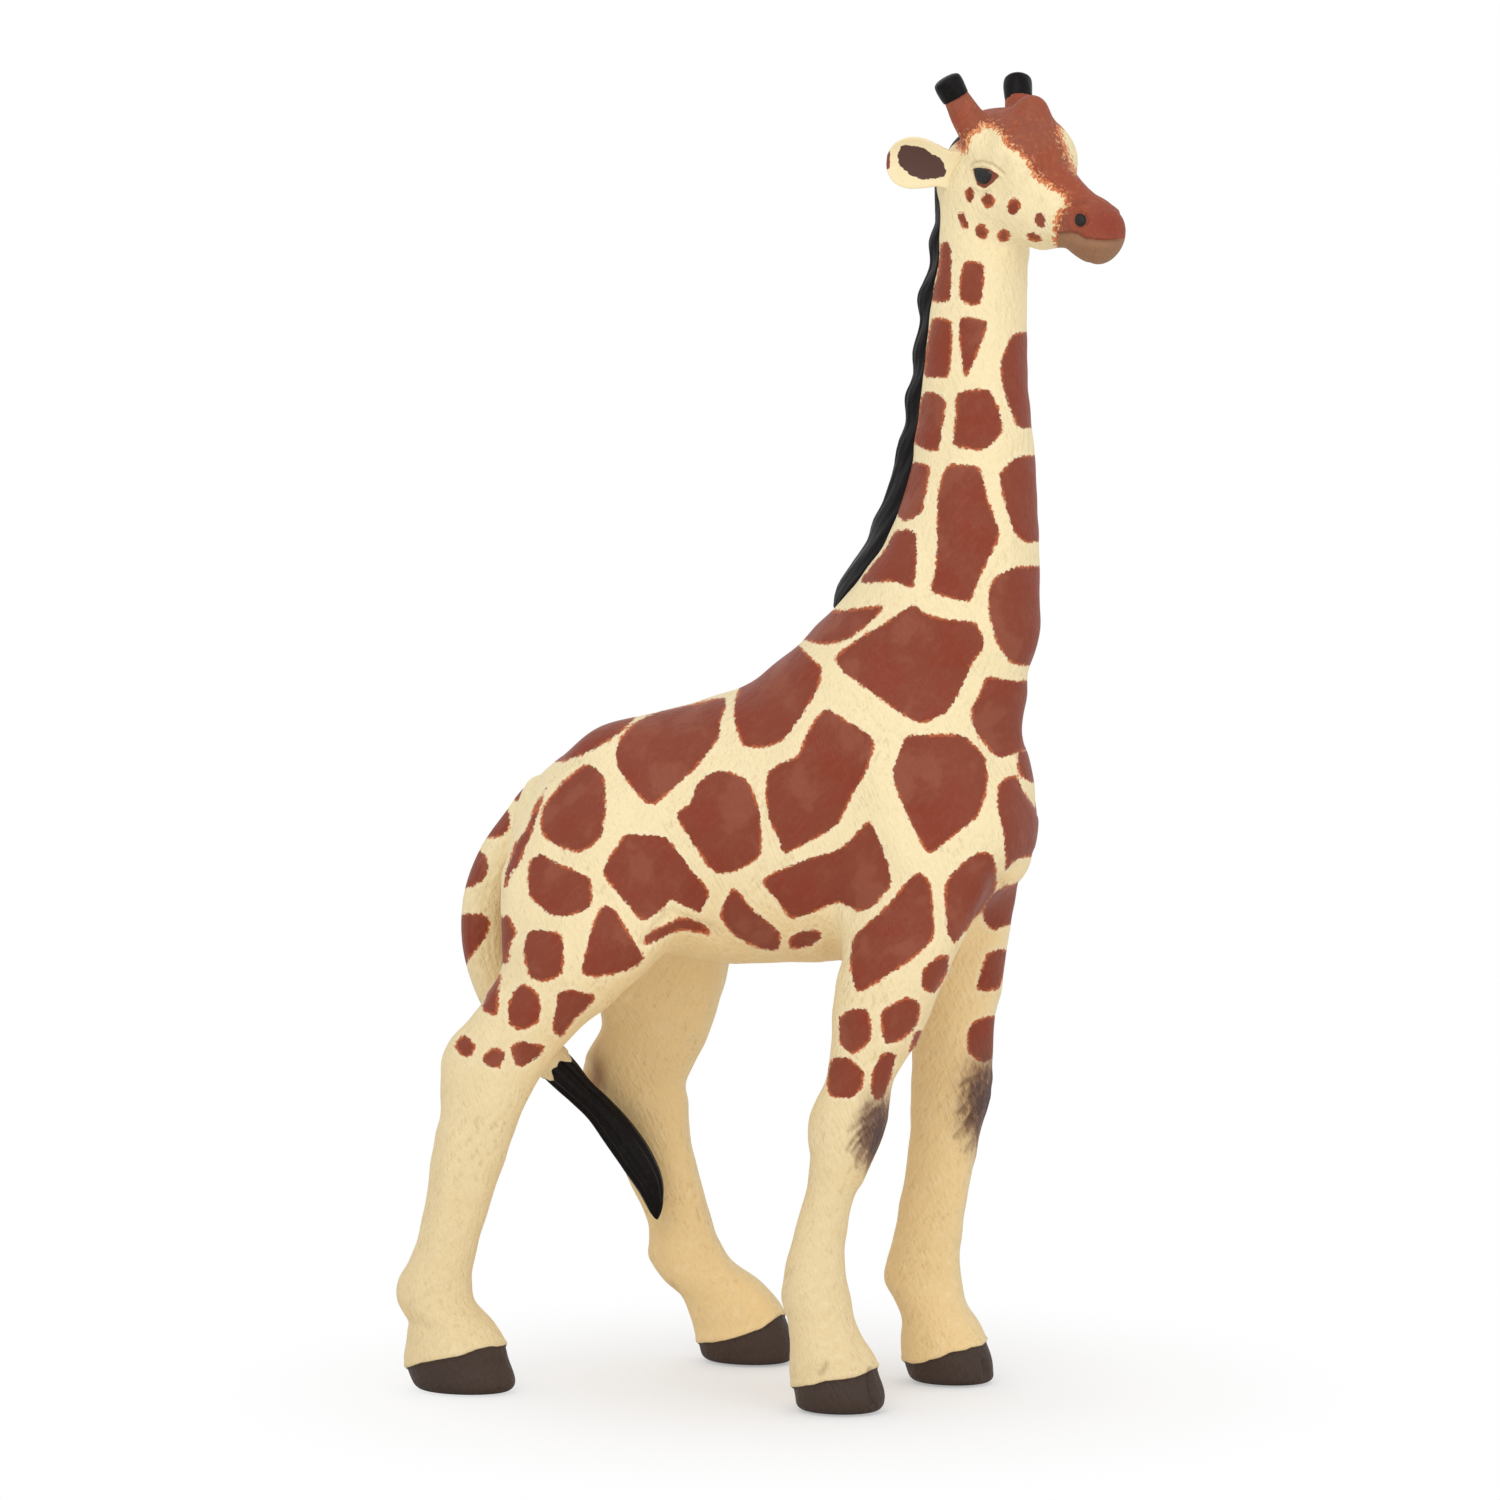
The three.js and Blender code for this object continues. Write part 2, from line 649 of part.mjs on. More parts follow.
function meshOf(name, solid, colour, roughness) {
  const { vertProperties, triVerts } = solid.getMesh();
  const threes = (list) =>
    Array.from({ length: list.length / 3 }, (_, n) => [...list.slice(3 * n, 3 * n + 3)]);
  const points = threes(vertProperties).map((place) => new THREE.Vector3(...place));
  const faces = threes(triVerts);
  const corners = withoutShortEdges(points, faces).flat().map((id) => points[id]);
  const geometry = mergeVertices(new THREE.BufferGeometry().setFromPoints(corners), SEAM_GAP / 1000);
  geometry.computeVertexNormals();
  const material = new THREE.MeshStandardMaterial({ color: colour, roughness, metalness: 0 });
  const mesh = new THREE.Mesh(geometry, material);
  mesh.name = name;
  return mesh;
}

// Everything on the far side of a plane, given by a point on it and the way it faces
function spaceBeyond(point, way) {
  const turn = new THREE.Quaternion().setFromUnitVectors(new THREE.Vector3(0, 0, 1), way);
  const middle = point.clone().addScaledVector(way, REACH / 2);
  const placed = new THREE.Matrix4().compose(middle, turn, new THREE.Vector3(1, 1, 1));
  return solidOf(new THREE.BoxGeometry(REACH, REACH, REACH), placed);
}

// A round peg from one point to another, or its socket when grown by a clearance
function peg(from, to, radius) {
  const way = to.clone().sub(from);
  const turn = new THREE.Quaternion().setFromUnitVectors(new THREE.Vector3(0, 1, 0), way.clone().normalize());
  const middle = from.clone().add(to).divideScalar(2);
  const placed = new THREE.Matrix4().compose(middle, turn, new THREE.Vector3(1, 1, 1));
  return solidOf(new THREE.CylinderGeometry(radius, radius, way.length(), PEG_SIDES), placed);
}

// Joins a peg to one casting and cuts its socket in the other; the peg crosses the seam at the given point
function plug(held, holder, seam, way, radius, length) {
  const root = seam.clone().addScaledVector(way, -OVERRUN / 2);
  const end = seam.clone().addScaledVector(way, length);
  const socketEnd = seam.clone().addScaledVector(way, length + PEG_CLEARANCE);
  return [
    held.add(peg(root, end, radius)),
    holder.subtract(peg(root, socketEnd, radius + PEG_CLEARANCE)),
  ];
}

// A closed tube of changing section along a path, its width along the given direction; it may be cupped
function sweptForm(stations, across, cup, sides, grown = 0) {
  const last = stations.length - 1;
  const points = [];
  stations.forEach(({ place, halfWidth, halfThickness }, i) => {
    const before = stations[Math.max(i - 1, 0)].place;
    const after = stations[Math.min(i + 1, last)].place;
    const way = after.clone().sub(before).normalize();
    const wide = across.clone().addScaledVector(way, -across.dot(way)).normalize();
    const thick = new THREE.Vector3().crossVectors(way, wide);
    for (let k = 0; k < sides; k += 1) {
      const angle = 2 * Math.PI * k / sides;
      const s = (halfWidth + grown) * Math.cos(angle);
      const bow = cup * halfWidth * Math.cos(angle) ** 2;
      const t = (halfThickness + grown) * Math.sin(angle) + bow;
      points.push(place.clone().addScaledVector(wide, s).addScaledVector(thick, t));
    }
  });
  const pole = (end, next) => {
    const way = end.place.clone().sub(next.place).normalize();
    return end.place.clone().addScaledVector(way, grown + 0.75 * end.halfThickness);
  };
  points.push(pole(stations[0], stations[1]), pole(stations[last], stations[last - 1]));
  const triangles = [];
  for (let i = 0; i <= last; i += 1) {
    for (let k = 0; k < sides; k += 1) {
      const next = (k + 1) % sides;
      const a = i * sides + k;
      const b = i * sides + next;
      if (i < last) triangles.push(a, b, b + sides, a, b + sides, a + sides);
      if (i === 0) triangles.push(points.length - 2, b, a);
      if (i === last) triangles.push(points.length - 1, a, b);
    }
  }
  const geometry = new THREE.BufferGeometry().setFromPoints(points);
  geometry.setIndex(triangles);
  return solidOf(geometry);
}

// Seams
const up = new THREE.Vector3(0, 0, 1);
const legSeam = new THREE.Vector3(0, 0, LEG_SEAM_HEIGHT);
const neckSeam = new THREE.Vector3(0.8 * NECK_FORWARD, 0, NECK_FOOT + 0.085 * NECK_LENGTH);
const neckSeamWay = new THREE.Vector3(0.27, 0, 1).normalize();
const headSeam = new THREE.Vector3(1.03 * NECK_FORWARD, 0, headPlace.z - 0.65 * HEAD_DEPTH);
const headSeamWay = new THREE.Vector3(0.2, 0, 1).normalize();

function pastSeam(point, way) {
  return spaceBeyond(point.clone().addScaledVector(way, SEAM_GAP / 2), way);
}

function beforeSeam(point, way) {
  const back = way.clone().negate();
  return spaceBeyond(point.clone().addScaledVector(back, SEAM_GAP / 2), back);
}

// The groove that the mane lies in, and the mane: a slab behind a line inside the neck's back
function maneSlab(setDepth, width) {
  const edge = manePlaceShares.map(([height]) => {
    const z = NECK_FOOT + height * NECK_LENGTH;
    const [, forward, , halfDepth] = readNeck(z);
    return new THREE.Vector2(forward - halfDepth + setDepth, z);
  });
  const lowest = edge[0].y;
  const highest = edge[edge.length - 1].y;
  const behind = edge[0].x - REACH / 4;
  const back = [new THREE.Vector2(behind, highest), new THREE.Vector2(behind, lowest)];
  const outline = new THREE.Shape([...edge, ...back]);
  const geometry = new THREE.ExtrudeGeometry(outline, { depth: width, bevelEnabled: false, steps: 1 });
  const upright = new THREE.Matrix4().makeRotationX(Math.PI / 2);
  upright.setPosition(0, width / 2, 0);
  return solidOf(geometry, upright);
}

function maneSolid() {
  const rows = manePlaceShares.map(([height, proud]) => {
    const z = NECK_FOOT + height * NECK_LENGTH;
    const [, forward, , halfDepth] = readNeck(z);
    const middle = forward - halfDepth + MANE_SET_DEPTH;
    return [z, middle, 0, MANE_SET_DEPTH + proud * MANE_PROUD, maneSwellShare * MANE_WIDTH];
  });
  const form = uprightForm(rows, MANE_PROUD);
  const low = new THREE.Vector3(-NECK_FORWARD, -MANE_WIDTH, rows[0][0] - MANE_PROUD);
  const high = new THREE.Vector3(2 * NECK_FORWARD, MANE_WIDTH, rows[rows.length - 1][0] + MANE_PROUD);
  const cell = [MANE_CELL, MANE_CELL / tallCellShare, tallCellShare * MANE_CELL];
  const skin = solidOf(skinGeometry(form, new THREE.Box3(low, high), cell));
  const strip = maneSlab(MANE_SET_DEPTH - SEAM_GAP, MANE_WIDTH);
  return skin.intersect(strip).intersect(pastSeam(neckSeam, neckSeamWay));
}

function tailStations() {
  const [along, height] = tailRootShares;
  const root = new THREE.Vector3(along * TRUNK_LENGTH, 0, BELLY_HEIGHT + height * TRUNK_DEPTH);
  return tailShares.map(([back, aside, drop, wide, thick]) => ({
    place: new THREE.Vector3(-back, aside, -drop).multiplyScalar(TAIL_LENGTH).add(root),
    halfWidth: wide * TAIL_WIDTH,
    halfThickness: thick * TAIL_THICKNESS,
  }));
}

function tailSolid(grown) {
  return sweptForm(tailStations(), new THREE.Vector3(0, 1, 0), 0, TAIL_SIDES, grown);
}

// An ear: a cupped leaf from inside the head to its round tip
function earSolid(side, grown) {
  const root = headPoint(earRootPlaceShares, side).applyMatrix4(headFrame);
  const [back, out, rise] = earDirectionShares;
  const way = new THREE.Vector3(back, side * out, rise).transformDirection(headFrame);
  const across = new THREE.Vector3(0, 0, side).transformDirection(headFrame);
  const stations = earLeafShares.map(([along, wide, thick]) => ({
    place: root.clone().addScaledVector(way, along * EAR_LENGTH),
    halfWidth: wide * EAR_WIDTH,
    halfThickness: thick * EAR_THICKNESS / 2,
  }));
  return sweptForm(stations, across, earCupShare, EAR_SIDES, grown);
}

// A horn's black tip: a rounded drum on its own peg
function hornTip(side) {
  const { seam, way } = hornAxis(side);
  const profile = hornTipShares.map(([out, along]) =>
    new THREE.Vector2(out * HORN_RADIUS, along * HORN_TIP_LENGTH));
  const turn = new THREE.Quaternion().setFromUnitVectors(new THREE.Vector3(0, 1, 0), way);
  const foot = seam.clone().addScaledVector(way, SEAM_GAP);
  const placed = new THREE.Matrix4().compose(foot, turn, new THREE.Vector3(1, 1, 1));
  placed.premultiply(headFrame);
  return solidOf(new THREE.LatheGeometry(profile, PEG_SIDES), placed);
}

// The upright notch that splits the front of a hoof in two toes
function toeCleft(rows) {
  const [, forward, aside, halfDepth] = rows[1];
  const halfDiagonal = TOE_CLEFT_WIDTH / Math.SQRT2;
  const placed = new THREE.Matrix4().makeRotationZ(Math.PI / 4);
  placed.setPosition(forward + halfDepth - TOE_CLEFT_DEPTH + halfDiagonal, aside, 0);
  return solidOf(new THREE.BoxGeometry(TOE_CLEFT_WIDTH, TOE_CLEFT_WIDTH, 2 * HOOF_HEIGHT), placed);
}

// Castings cut from the one sculpted form
function casting(low, high, cell) {
  return solidOf(skinGeometry(figureForm, new THREE.Box3(low, high), cell));
}

// The room round a leg below its seam, kept off the other legs
function legBox({ rows, front, side }) {
  const box = new THREE.Box3();
  for (const [height, forward, aside, halfDepth, halfWidth] of rows) {
    if (height > LEG_SEAM_HEIGHT + OVERRUN) break;
    const half = new THREE.Vector3(halfDepth, halfWidth, OVERRUN);
    const middle = new THREE.Vector3(forward, aside, height);
    box.expandByPoint(middle.clone().sub(half)).expandByPoint(middle.add(half));
  }
  box.expandByScalar(OVERRUN);
  if (front) box.min.setX(Math.max(box.min.x, MIDDLE_FORWARD));
  else box.max.setX(Math.min(box.max.x, MIDDLE_FORWARD));
  if (side > 0) box.min.setY(Math.max(box.min.y, 0));
  else box.max.setY(Math.min(box.max.y, 0));
  box.max.setZ(LEG_SEAM_HEIGHT + OVERRUN);
  return box;
}

function legCasting(leg) {
  const { min, max } = legBox(leg);
  const whole = casting(min, max, [LEG_CELL, LEG_CELL, tallCellShare * LEG_CELL]);
  const standing = whole.intersect(spaceBeyond(new THREE.Vector3(), up)).intersect(beforeSeam(legSeam, up));
  return standing.subtract(toeCleft(leg.rows)).subtract(tailSolid(SEAM_GAP));
}

let torso = casting(
  new THREE.Vector3(-0.75 * TRUNK_LENGTH, -TRUNK_WIDTH, LEG_SEAM_HEIGHT - OVERRUN),
  new THREE.Vector3(0.65 * TRUNK_LENGTH, TRUNK_WIDTH, NECK_FOOT + 0.4 * NECK_LENGTH),
  [TRUNK_CELL, TRUNK_CELL, TRUNK_CELL],
);
torso = torso.intersect(pastSeam(legSeam, up)).intersect(beforeSeam(neckSeam, neckSeamWay));

let neck = casting(
  new THREE.Vector3(-0.2 * NECK_FORWARD, -NECK_WIDTH - OVERRUN, NECK_FOOT - 0.2 * NECK_LENGTH),
  new THREE.Vector3(1.9 * NECK_FORWARD, NECK_WIDTH + OVERRUN, NECK_FOOT + NECK_LENGTH),
  [NECK_CELL, NECK_CELL, tallCellShare * NECK_CELL],
);
neck = neck.intersect(pastSeam(neckSeam, neckSeamWay)).intersect(beforeSeam(headSeam, headSeamWay));

let head = casting(
  new THREE.Vector3(0.5 * NECK_FORWARD, -0.6 * HEAD_LENGTH, NECK_FOOT + 0.8 * NECK_LENGTH),
  new THREE.Vector3(2.2 * NECK_FORWARD, 0.5 * HEAD_LENGTH, NECK_FOOT + 1.4 * NECK_LENGTH),
  [HEAD_CELL, HEAD_CELL, HEAD_CELL],
);
head = head.intersect(pastSeam(headSeam, headSeamWay));

const figure = new THREE.Group();

for (const place of legs) {
  let leg = legCasting(place);
  const topSlice = spaceBeyond(legSeam.clone().addScaledVector(up, -OVERRUN / 2), up);
  const end = leg.intersect(topSlice).boundingBox();
  const seam = new THREE.Vector3(...end.min).add(new THREE.Vector3(...end.max)).divideScalar(2);
  seam.setZ(LEG_SEAM_HEIGHT);
  [leg, torso] = plug(leg, torso, seam, up, LEG_PEG_RADIUS, LEG_PEG_LENGTH);
  figure.add(meshOf(place.name, leg, CREAM, PAINT_ROUGHNESS));
}

const neckDown = neckSeamWay.clone().negate();
[neck, torso] = plug(neck, torso, neckSeam, neckDown, NECK_PEG_RADIUS, NECK_PEG_LENGTH);
[neck, head] = plug(neck, head, headSeam, headSeamWay, HEAD_PEG_RADIUS, HEAD_PEG_LENGTH);

const groove = maneSlab(MANE_SET_DEPTH, MANE_WIDTH + 2 * SEAM_GAP);
neck = neck.subtract(groove);
head = head.subtract(groove);
torso = torso.subtract(tailSolid(SEAM_GAP));

for (const [label, side] of [["right", -1], ["left", 1]]) {
  const { seam, way } = hornAxis(side);
  const seat = seam.clone().applyMatrix4(headFrame);
  const out = way.clone().transformDirection(headFrame);
  const end = seat.clone().addScaledVector(out, HORN_TIP_LENGTH + OVERRUN);
  head = head.subtract(peg(seat, end, hornSeatShare * HORN_RADIUS));
  let tip = hornTip(side);
  [tip, head] = plug(tip, head, seat, out.clone().negate(), HORN_PEG_RADIUS, HORN_PEG_LENGTH);
  head = head.subtract(earSolid(side, SEAM_GAP));
  figure.add(meshOf(`${label}_horn_tip`, tip, BLACK, BLACK_ROUGHNESS));
  figure.add(meshOf(`${label}_ear`, earSolid(side, 0), CREAM, PAINT_ROUGHNESS));
}

figure.add(meshOf("torso", torso, CREAM, PAINT_ROUGHNESS));
figure.add(meshOf("neck", neck, CREAM, PAINT_ROUGHNESS));
figure.add(meshOf("head", head, CREAM, PAINT_ROUGHNESS));
figure.add(meshOf("mane", maneSolid(), BLACK, BLACK_ROUGHNESS));
figure.add(meshOf("tail", tailSolid(0), CREAM, PAINT_ROUGHNESS));

// The origin lies on the floor under the middle of the figure
const bounds = new THREE.Box3().setFromObject(figure);
const middle = bounds.getCenter(new THREE.Vector3());
figure.position.set(-middle.x, -middle.y, -bounds.min.z);

export default figure;
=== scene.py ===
# %% [markdown]
# # A hand-painted toy giraffe
# The figure is soft vinyl, cast in thirteen small moulds, glued together and painted by hand.
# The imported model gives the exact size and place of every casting, and it stays as it is.
# Blender adds what the plain solids lack: fine relief, the painted coat, gloss and light.

import json
import math

import bpy
import numpy as np
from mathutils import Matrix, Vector

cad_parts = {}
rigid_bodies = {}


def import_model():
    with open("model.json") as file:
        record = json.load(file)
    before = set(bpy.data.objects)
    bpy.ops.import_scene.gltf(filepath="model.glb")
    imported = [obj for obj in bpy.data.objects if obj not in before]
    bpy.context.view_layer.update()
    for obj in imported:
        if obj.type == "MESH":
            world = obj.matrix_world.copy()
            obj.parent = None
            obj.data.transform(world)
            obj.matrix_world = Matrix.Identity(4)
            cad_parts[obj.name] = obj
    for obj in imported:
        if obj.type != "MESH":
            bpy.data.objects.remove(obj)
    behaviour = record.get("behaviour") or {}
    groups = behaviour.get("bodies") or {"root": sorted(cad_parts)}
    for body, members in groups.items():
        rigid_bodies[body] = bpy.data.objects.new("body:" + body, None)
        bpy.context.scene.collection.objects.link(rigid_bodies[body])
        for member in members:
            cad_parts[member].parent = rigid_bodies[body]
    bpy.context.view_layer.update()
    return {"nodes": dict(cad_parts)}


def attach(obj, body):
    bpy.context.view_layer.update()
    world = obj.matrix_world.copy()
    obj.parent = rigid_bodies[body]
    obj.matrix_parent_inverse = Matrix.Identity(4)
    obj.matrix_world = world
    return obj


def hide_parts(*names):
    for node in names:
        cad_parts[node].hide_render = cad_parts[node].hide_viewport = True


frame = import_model()
print("castings in the packed model:", sorted(frame["nodes"]))

# %% [markdown]
# ## Millimetres and two origins
# A sculptor measures a small figure in millimetres, so every shape here is worked out in millimetres.
# The sculpt has its origin under the middle of the barrel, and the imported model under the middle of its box.
# One fixed step leads from the first to the second, and the last step to metres is a plain factor.

# %% Units and the step between the two origins
MM = 0.001
SCULPT_TO_FRAME = np.array([1.693, -2.476, 0.0])


def to_frame(places):
    """Sculpt millimetres to frame metres: the place plus the step, times a thousandth."""
    return (np.asarray(places, float) + SCULPT_TO_FRAME) * MM


def put_in_scene(name, data):
    """A new object that holds this data, linked into the scene."""
    made = bpy.data.objects.new(name, data)
    bpy.context.scene.collection.objects.link(made)
    return made


print("step between the origins in mm:", SCULPT_TO_FRAME)

# %% [markdown]
# ## The camera
# The photograph was taken from the animal's right, a little in front and a little above.
# A long lens far away keeps the four legs nearly parallel, as they are in the photograph.
# The lens follows from the picture: a length in pixels over the distance, times the sensor's width.
# The same numbers also say where a point of the sculpt shows in the photograph, which places the paint later.

# %% Where the camera stands and what it sees
PICTURE_SIDE = 1500
SENSOR_WIDTH = 36.0
CAMERA_AZIMUTH = math.radians(18.0)
CAMERA_HEIGHT_ANGLE = math.radians(3.9)
CAMERA_DISTANCE = 800.0
FOCAL_PIXELS = 6160.0
AIM = np.array([0.0, -13.3, 87.0])
AIM_PIXEL = np.array([762.0, 742.0])
PIXELS_PER_MM = 7.7
NEAR_CLIP = 0.01

level = math.cos(CAMERA_HEIGHT_ANGLE)
toward_camera = np.array([
    math.sin(CAMERA_AZIMUTH) * level,
    -math.cos(CAMERA_AZIMUTH) * level,
    math.sin(CAMERA_HEIGHT_ANGLE),
])
picture_right = np.array([math.cos(CAMERA_AZIMUTH), math.sin(CAMERA_AZIMUTH), 0.0])
picture_up = np.cross(toward_camera, picture_right)
camera_place = AIM + toward_camera * CAMERA_DISTANCE


def picture_place(places):
    """Pixel of a point: its offset across and up, times the focal length, over its depth."""
    offset = np.asarray(places, float) - camera_place
    depth = -(offset @ toward_camera)
    across = AIM_PIXEL[0] + FOCAL_PIXELS * (offset @ picture_right) / depth
    down = AIM_PIXEL[1] - FOCAL_PIXELS * (offset @ picture_up) / depth
    return np.stack([across, down], -1)


camera_data = bpy.data.cameras.new("photo_camera")
camera_data.sensor_width = SENSOR_WIDTH
camera_data.lens = FOCAL_PIXELS / PICTURE_SIDE * SENSOR_WIDTH
camera_data.shift_x = (PICTURE_SIDE / 2 - AIM_PIXEL[0]) / PICTURE_SIDE
camera_data.shift_y = (AIM_PIXEL[1] - PICTURE_SIDE / 2) / PICTURE_SIDE
camera_data.clip_start = NEAR_CLIP
camera = put_in_scene("photo_camera", camera_data)
camera.location = Vector(to_frame(camera_place))
camera.rotation_euler = Vector(toward_camera).to_track_quat("Z", "Y").to_euler()
bpy.context.scene.camera = camera
print("lens", round(camera_data.lens, 2), "mm, camera at", [round(v, 3) for v in camera.location])

# %% [markdown]
# ## Light, floor and white backdrop
# A product photograph is lit by large soft boxes, so shadows are pale and wide.
# An even world light gives each colour about as it is written, and two area lamps model the form.
# Only the camera, glossy and transmission rays see a world of strength one, so the backdrop is plain white
# and no extra light falls on the figure.

# %% Helpers for nodes
def fill(tree, sockets, values):
    """Each named or numbered socket is linked to its value, or set to it where that is plain."""
    for key, value in values.items():
        if isinstance(value, bpy.types.NodeSocket):
            tree.links.new(value, sockets[key])
        else:
            sockets[key].default_value = value


def add_node(tree, kind, inputs=None, **options):
    """A node with its options set and its inputs filled."""
    node = tree.nodes.new(kind)
    for key, value in options.items():
        setattr(node, key, value)
    fill(tree, node.inputs, inputs or {})
    return node


def calc(tree, operation, first, second=0.0, third=0.0):
    """One sum of up to three numbers."""
    return add_node(tree, "ShaderNodeMath", {0: first, 1: second, 2: third}, operation=operation).outputs[0]


def eased(tree, value, low, high, start=0.0, end=1.0):
    """A smooth S from start to end while the value goes from low to high."""
    return add_node(tree, "ShaderNodeMapRange",
                    {"Value": value, "From Min": low, "From Max": high, "To Min": start, "To Max": end},
                    interpolation_type="SMOOTHSTEP").outputs["Result"]


print("node helpers ready")

# %% Soft studio light
WORLD_LEVEL = 0.755
LAMP_SIDE = 0.6
FIGURE_MIDDLE = Vector((0.0, 0.0, 0.09))
# Place in metres and power of each soft box
SOFT_BOXES = {"key_box": ((0.0, -0.85, 0.75), 2.9), "fill_box": ((0.75, -0.50, 0.20), 1.5)}


def world_light(strength):
    """Background: the strength for light rays, and one for camera, transmission and glossy rays."""
    world = bpy.data.worlds.new("studio")
    world.use_nodes = True
    tree = world.node_tree
    rays = add_node(tree, "ShaderNodeLightPath").outputs
    seen = calc(tree, "MAXIMUM", rays["Is Camera Ray"], rays["Is Transmission Ray"])
    seen = calc(tree, "MAXIMUM", seen, rays["Is Glossy Ray"])
    shown = add_node(tree, "ShaderNodeMapRange", {"Value": seen, "To Min": strength, "To Max": 1.0})
    fill(tree, tree.nodes["Background"].inputs, {"Color": (1, 1, 1, 1), "Strength": shown.outputs[0]})
    return world


def soft_box(name, place, power):
    """A square area lamp at a place in metres, turned to face the middle of the figure."""
    data = bpy.data.lights.new(name, "AREA")
    data.shape, data.size, data.energy = "SQUARE", LAMP_SIDE, power
    lamp = put_in_scene(name, data)
    lamp.location = place
    lamp.rotation_euler = (FIGURE_MIDDLE - Vector(place)).to_track_quat("-Z", "Y").to_euler()


bpy.context.scene.world = world_light(WORLD_LEVEL)
bpy.context.scene.view_settings.view_transform = "Standard"
for name, (place, power) in SOFT_BOXES.items():
    soft_box(name, place, power)
print("world level", WORLD_LEVEL, "and soft boxes", list(SOFT_BOXES))

# %% The floor
FLOOR_SIDE = 6.0
FLOOR_DEPTH = 0.0002
PAPER_COLOUR = (0.90, 0.89, 0.875, 1)
# Metres from the figure's middle between which the paper runs out into white; the first lies below nought,
# so that the paper is already a little paler under the figure
WHITE_FROM, WHITE_BY = -0.03, 0.085


def new_material(name):
    """Material with its node tree, its shader and the object's own coordinates."""
    material = bpy.data.materials.new(name)
    material.use_nodes = True
    tree = material.node_tree
    place = tree.nodes.new("ShaderNodeTexCoord").outputs["Object"]
    return material, tree, tree.nodes["Principled BSDF"], place


def floor_material():
    """Pale matt floor that keeps the shadow near the figure and runs out into plain white."""
    material, tree, paper, place = new_material("floor_paper")
    fill(tree, paper.inputs, {"Base Color": PAPER_COLOUR, "Roughness": 0.9, "Specular IOR Level": 0.1})
    distance = add_node(tree, "ShaderNodeVectorMath", {0: place}, operation="LENGTH").outputs["Value"]
    camera_ray = add_node(tree, "ShaderNodeLightPath").outputs["Is Camera Ray"]
    share = calc(tree, "MULTIPLY", eased(tree, distance, WHITE_FROM, WHITE_BY), camera_ray)
    white = add_node(tree, "ShaderNodeEmission", {"Strength": 1.0})
    mixed = add_node(tree, "ShaderNodeMixShader", {0: share, 1: paper.outputs[0], 2: white.outputs[0]})
    fill(tree, tree.nodes["Material Output"].inputs, {"Surface": mixed.outputs[0]})
    return material


corners = np.array([(-1, -1, 0), (1, -1, 0), (1, 1, 0), (-1, 1, 0)]) * FLOOR_SIDE / 2 - (0, 0, FLOOR_DEPTH)
floor_mesh = bpy.data.meshes.new("floor")
floor_mesh.from_pydata(corners.tolist(), [], [(0, 1, 2, 3)])
floor_mesh.materials.append(floor_material())
floor = put_in_scene("floor", floor_mesh)
print("floor side", FLOOR_SIDE, "m")

# %% [markdown]
# ## How a form is described
# Legs, neck, trunk and skull are lofts: an oval whose size and place are read from a table along one axis.
# Each form is written as a depth, positive outside and negative inside, and the forms run into each
# other through a smooth union. A grid of two parameters can't branch into four legs and a neck,
# so this one skin is found as the surface where the depth is nought.

# %% Reading tables and joining forms
FORWARD, UP = 0, 2


def unit(ways):
    """Ways brought to length one."""
    return ways / np.linalg.norm(ways, axis=-1, keepdims=True)


def smooth_reader(rows):
    """Value at a place: a cubic between two rows, with the slopes of the neighbouring rows."""
    table = np.array(rows, float)
    at, values = table[:, 0], table[:, 1:]
    index = np.arange(len(at))
    before, after = np.maximum(index - 1, 0), np.minimum(index + 1, len(at) - 1)
    slope = (values[after] - values[before]) / (at[after] - at[before])[:, None]

    def read(place):
        place = np.clip(place, at[0], at[-1])
        i = np.clip(np.searchsorted(at, place, side="right") - 1, 0, len(at) - 2)
        span = (at[i + 1] - at[i])[:, None]
        t = (place - at[i])[:, None] / span
        fall, leave, arrive = 2 * t**3 - 3 * t**2 + 1, t**3 - 2 * t**2 + t, t**3 - t**2
        level = fall * values[i] + (1 - fall) * values[i + 1]
        return level + span * (leave * slope[i] + arrive * slope[i + 1])

    return read, at[0], at[-1]


def ellipsoid_depth(offset, half_sizes):
    """Near-true depth of an ellipsoid: size times (size - 1) over slope, for an offset from its middle."""
    size = np.sqrt(((offset / half_sizes) ** 2).sum(-1))
    slope = np.sqrt(((offset / half_sizes**2) ** 2).sum(-1)) + 1e-9
    return size * (size - 1) / slope


def smooth_union(a, b, distance):
    """The smaller depth, less a quarter of the distance times the square of how near the two are."""
    near = np.maximum(distance - np.abs(a - b), 0) / distance
    return np.minimum(a, b) - near**2 * distance / 4


def loft_form(rows, axis, cap):
    """Loft along an axis: at each place an oval across it, given by its middle and its half sizes, with a
    round end of half size cap."""
    read, low, high = smooth_reader(rows)
    across = [k for k in range(3) if k != axis]

    def form(p):
        values = read(p[:, axis])
        offset, half_sizes = np.zeros(p.shape), np.full(p.shape, cap)
        offset[:, axis] = p[:, axis] - np.clip(p[:, axis], low, high)
        offset[:, across] = p[:, across] - values[:, :2]
        half_sizes[:, across] = values[:, 2:]
        return ellipsoid_depth(offset, half_sizes)

    return form


def cone_form(start, end, start_radius, end_radius):
    """Round cone: distance from the axis, less a radius that changes evenly from start to end."""
    along = end - start

    def form(p):
        t = np.clip((p - start) @ along / (along @ along), 0, 1)
        radius = start_radius + (end_radius - start_radius) * t
        return np.linalg.norm(p - start - t[:, None] * along, axis=1) - radius

    return form


print("form helpers ready")

